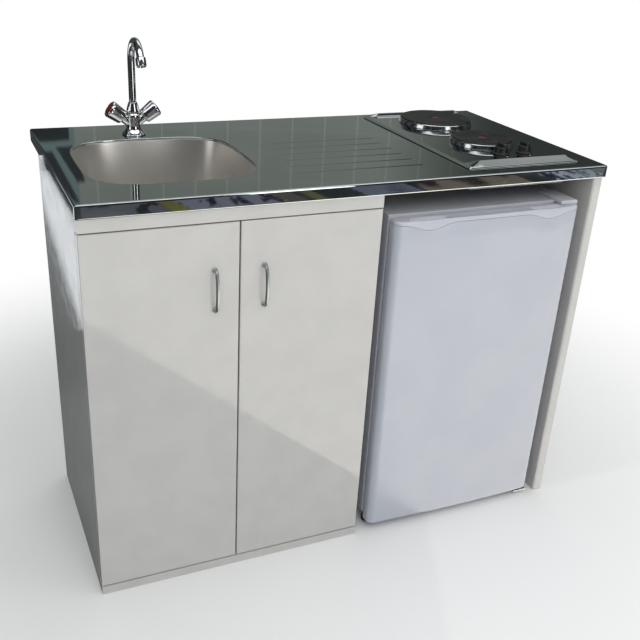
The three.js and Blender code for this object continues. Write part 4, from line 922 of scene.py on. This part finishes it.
def make_crisper():
    """Clear tub with a turned-out rim."""
    left, right, front, back = FRIDGE_LEFT + 52.3, FRIDGE_RIGHT - 52.3, FRIDGE_FRONT + 68, FRIDGE_FRONT + 260
    wall = ease([(-30, 96), (-3, 96.5), (0, 104), (2.9, 259), (7, 261.4), (7, 258.6)], [0, 6, 6, 1.5, 0.6, 0], 5)
    f = Form()
    rings = []
    for grow, z in wall:
        outline = rounded_box(left - grow, right + grow, front - grow, back + grow, max(3, 14 + grow), 7)
        rings.append(at_height(outline, z))
    f.loft(rings, (True, False))
    f.press("crisper_tub", "clear_plastic", "crisper", 2.0, 1)


# --- CAD nodes


def dress_nodes():
    """Finish the boards, liners and fittings that keep their own solids."""
    eased = {name: width for width, names in {
        0.3: "cabinet_back",
        0.6: "end_panel cabinet_bottom cabinet_rail_rear fridge_hinge_lower",
        0.8: "cabinet_side_left cabinet_side_right bay_rail hob_box",
        1.0: "cabinet_rail_front cabinet_plinth",
        1.2: "fridge_body fridge_top fridge_hinge_cover fridge_door_liner",
        1.5: "fridge_liner fridge_gasket",
    }.items() for name in names.split()}
    for name, piece in NODES.items():
        piece.data.materials.clear()
        piece.data.materials.append(FINISHES[SLOT_OF[name]].material)
        if name in eased:
            bevel = piece.modifiers.new("eased", "BEVEL")
            bevel.width, bevel.segments = eased[name] / 1000, 3
            bevel.limit_method, bevel.angle_limit = "ANGLE", radians(40)


# --- camera, room, lamps

SOFT_LIGHT = 0.62  # strength of the world on the object
CEILING = 4.2  # of the mirrored room, in metres
TILED_WALL, FAR_WALL = 3.3, 5.5  # distances of its walls


def make_camera():
    """The photograph's camera: position, angles and principal point in a 640 px frame."""
    pitch, yaw, roll = 0.4558, 0.4339, 0.0565
    focal, cx, cy, size = 867.96, 313.94, 335.90, 640
    right = Vector((cos(yaw), -sin(yaw), 0))
    ahead = Vector((sin(yaw) * cos(pitch), cos(yaw) * cos(pitch), -sin(pitch)))
    up = right.cross(ahead)
    r = right * cos(roll) + up * sin(roll)
    u = up * cos(roll) - right * sin(roll)
    data = bpy.data.cameras.new("camera")
    data.sensor_width = 36
    data.lens = data.sensor_width * focal / size
    data.shift_x = (size / 2 - cx) / size
    data.shift_y = (cy - size / 2) / size
    data.clip_start, data.clip_end = 0.05, 100
    cam = add_object("camera", data)
    m = Matrix((r, u, -ahead)).transposed().to_4x4()
    m.translation = W(-220.4, -1515.8, 1390.6)
    cam.matrix_world = m
    SCENE.camera = cam


def area_lamp(name, place, aim, size, power):
    """A square lamp that lights the object and isn't mirrored in it."""
    data = bpy.data.lights.new(name, "AREA")
    data.size = size
    data.energy = power
    lamp = add_object(name, data)
    lamp.location = place
    lamp.rotation_mode = "QUATERNION"
    lamp.rotation_quaternion = (Vector(aim) - Vector(place)).to_track_quat("-Z", "Y")
    lamp.visible_glossy = False


def make_world():
    """White wherever it is seen or mirrored, and a level soft light on the object."""
    world = bpy.data.worlds.new("studio")
    world.use_nodes = True
    n = Nodes(world.node_tree)
    n.tree.nodes.clear()
    soft = n.node("Background", {"Color": (0.98, 0.99, 1, 1), "Strength": SOFT_LIGHT})[0]
    white = n.node("Background", {"Color": (1, 1, 1, 1)})[0]
    mix = n.node("MixShader", {0: n.seen(), 1: soft, 2: white})[0]
    n.node("OutputWorld", {"Surface": mix})
    SCENE.world = world


def stage_mesh(name, points, faces, material):
    mesh = bpy.data.meshes.new(name)
    mesh.from_pydata(points, [], faces)
    mesh.materials.append(material)
    piece = add_object(name, mesh)
    return piece


def make_floor():
    """Pale paper that takes the shadow near the unit and melts into white further out."""
    f = Finish("floor_paper", Roughness=0.9, Base_Color=(0.88, 0.88, 0.88, 1))
    white = f.node("Emission")[0]
    fade = f.math("MULTIPLY", f.remap(f.length(f.place), 0.8, 1.8), f.seen())
    f.show(f.node("MixShader", {0: fade, 1: f.shader.outputs[0], 2: white})[0])
    half = 6.0
    corners = [(-half, -half, 0), (half, -half, 0), (half, half, 0), (-half, half, 0)]
    stage_mesh("floor", corners, [(0, 1, 2, 3)], f.material)


def card(name, points, paint, faces=None):
    """A self-lit sheet that polished metal mirrors and nothing else meets; paint builds its colour."""
    f = Finish(name)
    f.show(f.node("Emission", {"Color": paint(f)})[0])
    piece = stage_mesh(name, points, faces or [tuple(range(len(points)))], f.material)
    for ray in ("camera", "diffuse", "transmission", "volume_scatter", "shadow"):
        setattr(piece, f"visible_{ray}", False)
    return piece


def soft(f):
    return f.remap(f.noise(1.5, 2), 0.3, 0.7)


def tones(dark, light, signal=soft):
    """Paint in two tones, mixed by a signal that is built on the card's Finish."""
    return lambda f: f.mix(signal(f), (*dark, 1), (*light, 1))


def on_wall(heading, z, radius):
    """A point of the mirrored room, by its heading in degrees, height in mm and distance in metres."""
    a = radians(heading)
    return (radius * sin(a), radius * cos(a), z / 1000)


def tiled_wall(f):
    """Green-grey tiles behind the unit that darken to the right, with faint pale joints."""
    x, y, z = f.node("SeparateXYZ", {0: f.place})
    heading = f.math("MULTIPLY", f.math("ARCTAN2", x, y), 180 / pi)

    def joint(position, low, high):
        """1 wherever a position nears a whole number."""
        off = f.math("ABSOLUTE", f.math("SUBTRACT", f.math("FRACT", position), 0.5))
        return f.remap(off, low, high)

    column = joint(f.math("MULTIPLY", f.math("SUBTRACT", heading, 1.2), 1 / 3.4), 0.476, 0.49)
    course = joint(f.math("MULTIPLY", z, 3.1), 0.478, 0.492)
    joints = f.math("MAXIMUM", column, f.math("MULTIPLY", course, 0.3))
    tile = f.mix(f.remap(f.noise(2.2, 2), 0.3, 0.7), (0.195, 0.212, 0.19, 1), (0.215, 0.232, 0.21, 1))
    tile = f.mix(f.math("MULTIPLY", joints, 0.2), tile, (0.6, 0.62, 0.58, 1))
    tile = f.mix(f.remap(heading, 30, 44), tile, (0.045, 0.052, 0.048, 1))
    shade = f.remap(f.noise(0.9, 2, stretch=(1, 1, 0.3)), 0.45, 0.6)
    room = f.mix(shade, (0.012, 0.013, 0.016, 1), (0.06, 0.066, 0.07, 1))
    behind = f.math("MULTIPLY", f.remap(heading, -1.3, -0.9), f.remap(heading, 75, 60))
    return f.mix(behind, room, tile)


def make_flag():
    """A grey board beside the unit that keeps the soft light off its left side."""
    corners = [(-1.5, -1.0, 0), (-1.5, 2.4, 0), (-1.5, 2.4, 2.6), (-1.5, -1.0, 2.6)]
    flag = card("card_flag", corners, tones((0.26, 0.29, 0.29), (0.31, 0.34, 0.34)))
    flag.visible_diffuse = True
    flag.visible_glossy = False


def make_room():
    """The mirrored room: tiled wall behind the unit, dim walls, skylights and windows."""
    count = 96
    points = []
    for a in turns(count):
        radius = TILED_WALL if cos(a) > -0.2 else FAR_WALL
        points += [(radius * sin(a), radius * cos(a), z) for z in (0, CEILING)]
    faces = [(2 * k, 2 * k + 1, (2 * k + 3) % (2 * count), (2 * k + 2) % (2 * count)) for k in range(count)]
    card("card_walls", points, tiled_wall, faces)

    for name, left, right, front, back, z, dark, light in (
            ("card_ceiling", -5.6, 5.6, -5.6, 5.6, CEILING, (0.05, 0.05, 0.05), (0.1, 0.1, 0.105)),
            ("card_skylight_front", -3.5, 4.5, -3.2, -0.5, CEILING - 0.05, (1.5, 1.5, 1.5), (1.65, 1.65, 1.68)),
            ("card_skylight_back", -0.2, 4.2, 0.8, 2.7, CEILING - 0.05, (1.1, 1.1, 1.1), (1.21, 1.21, 1.232))):
        card(name, [(left, front, z), (right, front, z), (right, back, z), (left, back, z)], tones(dark, light))

    strip = tones((0.14, 0.18, 0.178), (0.14, 0.18, 0.178))
    frame_dark = tones((0.03, 0.034, 0.036), (0.042, 0.046, 0.05))
    low_wall = tones((0.9, 0.94, 0.98), (0.98, 1.02, 1.06))
    for name, radius, paint, corners in (
            ("card_strip", 3.25, strip, [(-1.0, 1500), (-14, 1500), (-14, 2600), (-0.5, 2600)]),
            ("card_frame_upper", 3.2, frame_dark, [(-14, 1700), (-3.4, 1700), (-0.95, 2010), (-14, 2010)]),
            ("card_frame_bar", 3.2, frame_dark, [(-3.05, 1677), (-1.36, 1677), (-0.27, 1890), (-1.06, 1890)]),
            ("card_frame_lower", 3.2, frame_dark, [(-14, 1500), (-1.6, 1500), (-1.6, 1643), (-14, 1643)]),
            ("card_side_wall", 3.22, low_wall, [(-14.5, 0), (-17, 0), (-17, 110), (-14.5, 110)]),
            ("card_side_wall_far", 3.22, low_wall, [(-19.5, 0), (-40, 0), (-40, 110), (-19.5, 110)])):
        card(name, [on_wall(*corner, radius) for corner in corners], paint)

    steps = 6
    for name, left, right, low, top, glow in (("card_window_left", -112, -90, 900, 2300, 1.2),
                                              ("card_window_front", 157, 167, 300, 2800, 3.4),
                                              ("card_window_high", 48, 78, 2500, 4100, 0.45)):
        points = [on_wall(blend(left, right, k / steps), z, 3.2) for k in range(steps + 1) for z in (low, top)]
        faces = [(2 * k, 2 * k + 1, 2 * k + 3, 2 * k + 2) for k in range(steps)]
        paint = tones((glow, 0.99 * glow, 0.95 * glow), (1.1 * glow, 1.1 * glow, 1.08 * glow))
        card(name, points, paint, faces)


def strokes(scale, low, high):
    """A signal of streaks that run away from the front."""
    return lambda f: f.remap(f.noise(scale, 1, stretch=(1, 0.35, 1)), low, high)


def make_floor_cards():
    """What the fronts, the left side and the polished apron mirror: the floor, daylight and goods on it."""
    for name, lift, corners, dark, light, signal in (
            ("card_floor", 1, [(-5000, -5315), (6200, -5315), (6200, 5885), (-5000, 5885)],
             (0.035, 0.04, 0.04), (0.075, 0.08, 0.085), lambda f: f.remap(f.noise(1.6, 3, 0.6), 0.4, 0.62)),
            ("card_daylight", 2, [(-255, -2500), (831, 0), (3600, 0), (3600, -2500)],
             (2.1, 2.02, 1.74), (2.35, 2.27, 2.0), soft),
            ("card_side_light", 2, [(-194, 1350), (-300, 3700), (-3000, 3700), (-3000, 1350)],
             (1.1, 1.14, 1.18), (1.16, 1.2, 1.25), soft),
            ("card_side_gap", 6, [(-368, 1800), (-368, 3700), (-440, 3700), (-440, 1800)],
             (0.03, 0.032, 0.036), (0.04, 0.042, 0.046), soft)):
        card(name, [W(x, y, lift) for x, y in corners], tones(dark, light, signal))

    for name, left, right, dark, light, signal in (
            ("grey", 380, 830, (0.03, 0.03, 0.036), (0.12, 0.12, 0.14), strokes(13, 0.43, 0.46)),
            ("yellow", 835, 925, (0.14, 0.12, 0.04), (0.2, 0.18, 0.06), soft),
            ("lavender", 925, 1450, (0.02, 0.021, 0.034), (0.2, 0.195, 0.25), strokes(17, 0.43, 0.45)),
            ("rose", 1450, 1570, (0.11, 0.085, 0.085), (0.15, 0.12, 0.12), soft),
            ("olive", 1620, 1690, (0.11, 0.105, 0.05), (0.18, 0.17, 0.09), soft),
            ("slate", 1927, 2277, (0.09, 0.1, 0.13), (0.14, 0.155, 0.2), strokes(4, 0.4, 0.6)),
            ("brown", 2277, 3038, (0.035, 0.028, 0.028), (0.19, 0.15, 0.13), strokes(5, 0.4, 0.5)),
            ("stripes", 3200, 3600, (0.03, 0.036, 0.06), (0.42, 0.43, 0.5), strokes(20, 0.47, 0.52)),
            ("plain", 3600, 4200, (0.2, 0.2, 0.21), (0.28, 0.28, 0.285), soft)):
        corners = [(left - 90, -3000), (right - 90, -3000), (right + 30, -2530), (left + 30, -2530)]
        card(f"card_goods_{name}", [W(x, y, 4) for x, y in corners], tones(dark, light, signal))


# --- the scene

make_worktop()
make_bowl()
make_waste()
make_trap()
make_tap_body()
make_tap_handles()
make_spout()
make_hob()
make_hotplates()
make_knobs()
make_handle("left", -1)
make_handle("right", 1)
make_fridge_door()
make_door_cap()
make_thermostat()
make_fridge_feet()
make_condenser()
make_compressor()
make_crisper()
dress_nodes()

SCENE.view_settings.view_transform = "Standard"
make_camera()
make_world()
make_floor()
make_room()
make_floor_cards()
make_flag()
area_lamp("key", (-0.6, -2.8, 3.2), (0, 0, 0.6), 2.2, 44)
area_lamp("fill", (2.6, -2.4, 2.4), (0, 0, 0.5), 2.0, 16)
area_lamp("top", (0, 0.4, 3.4), (0, 0, 0.8), 2.6, 20)
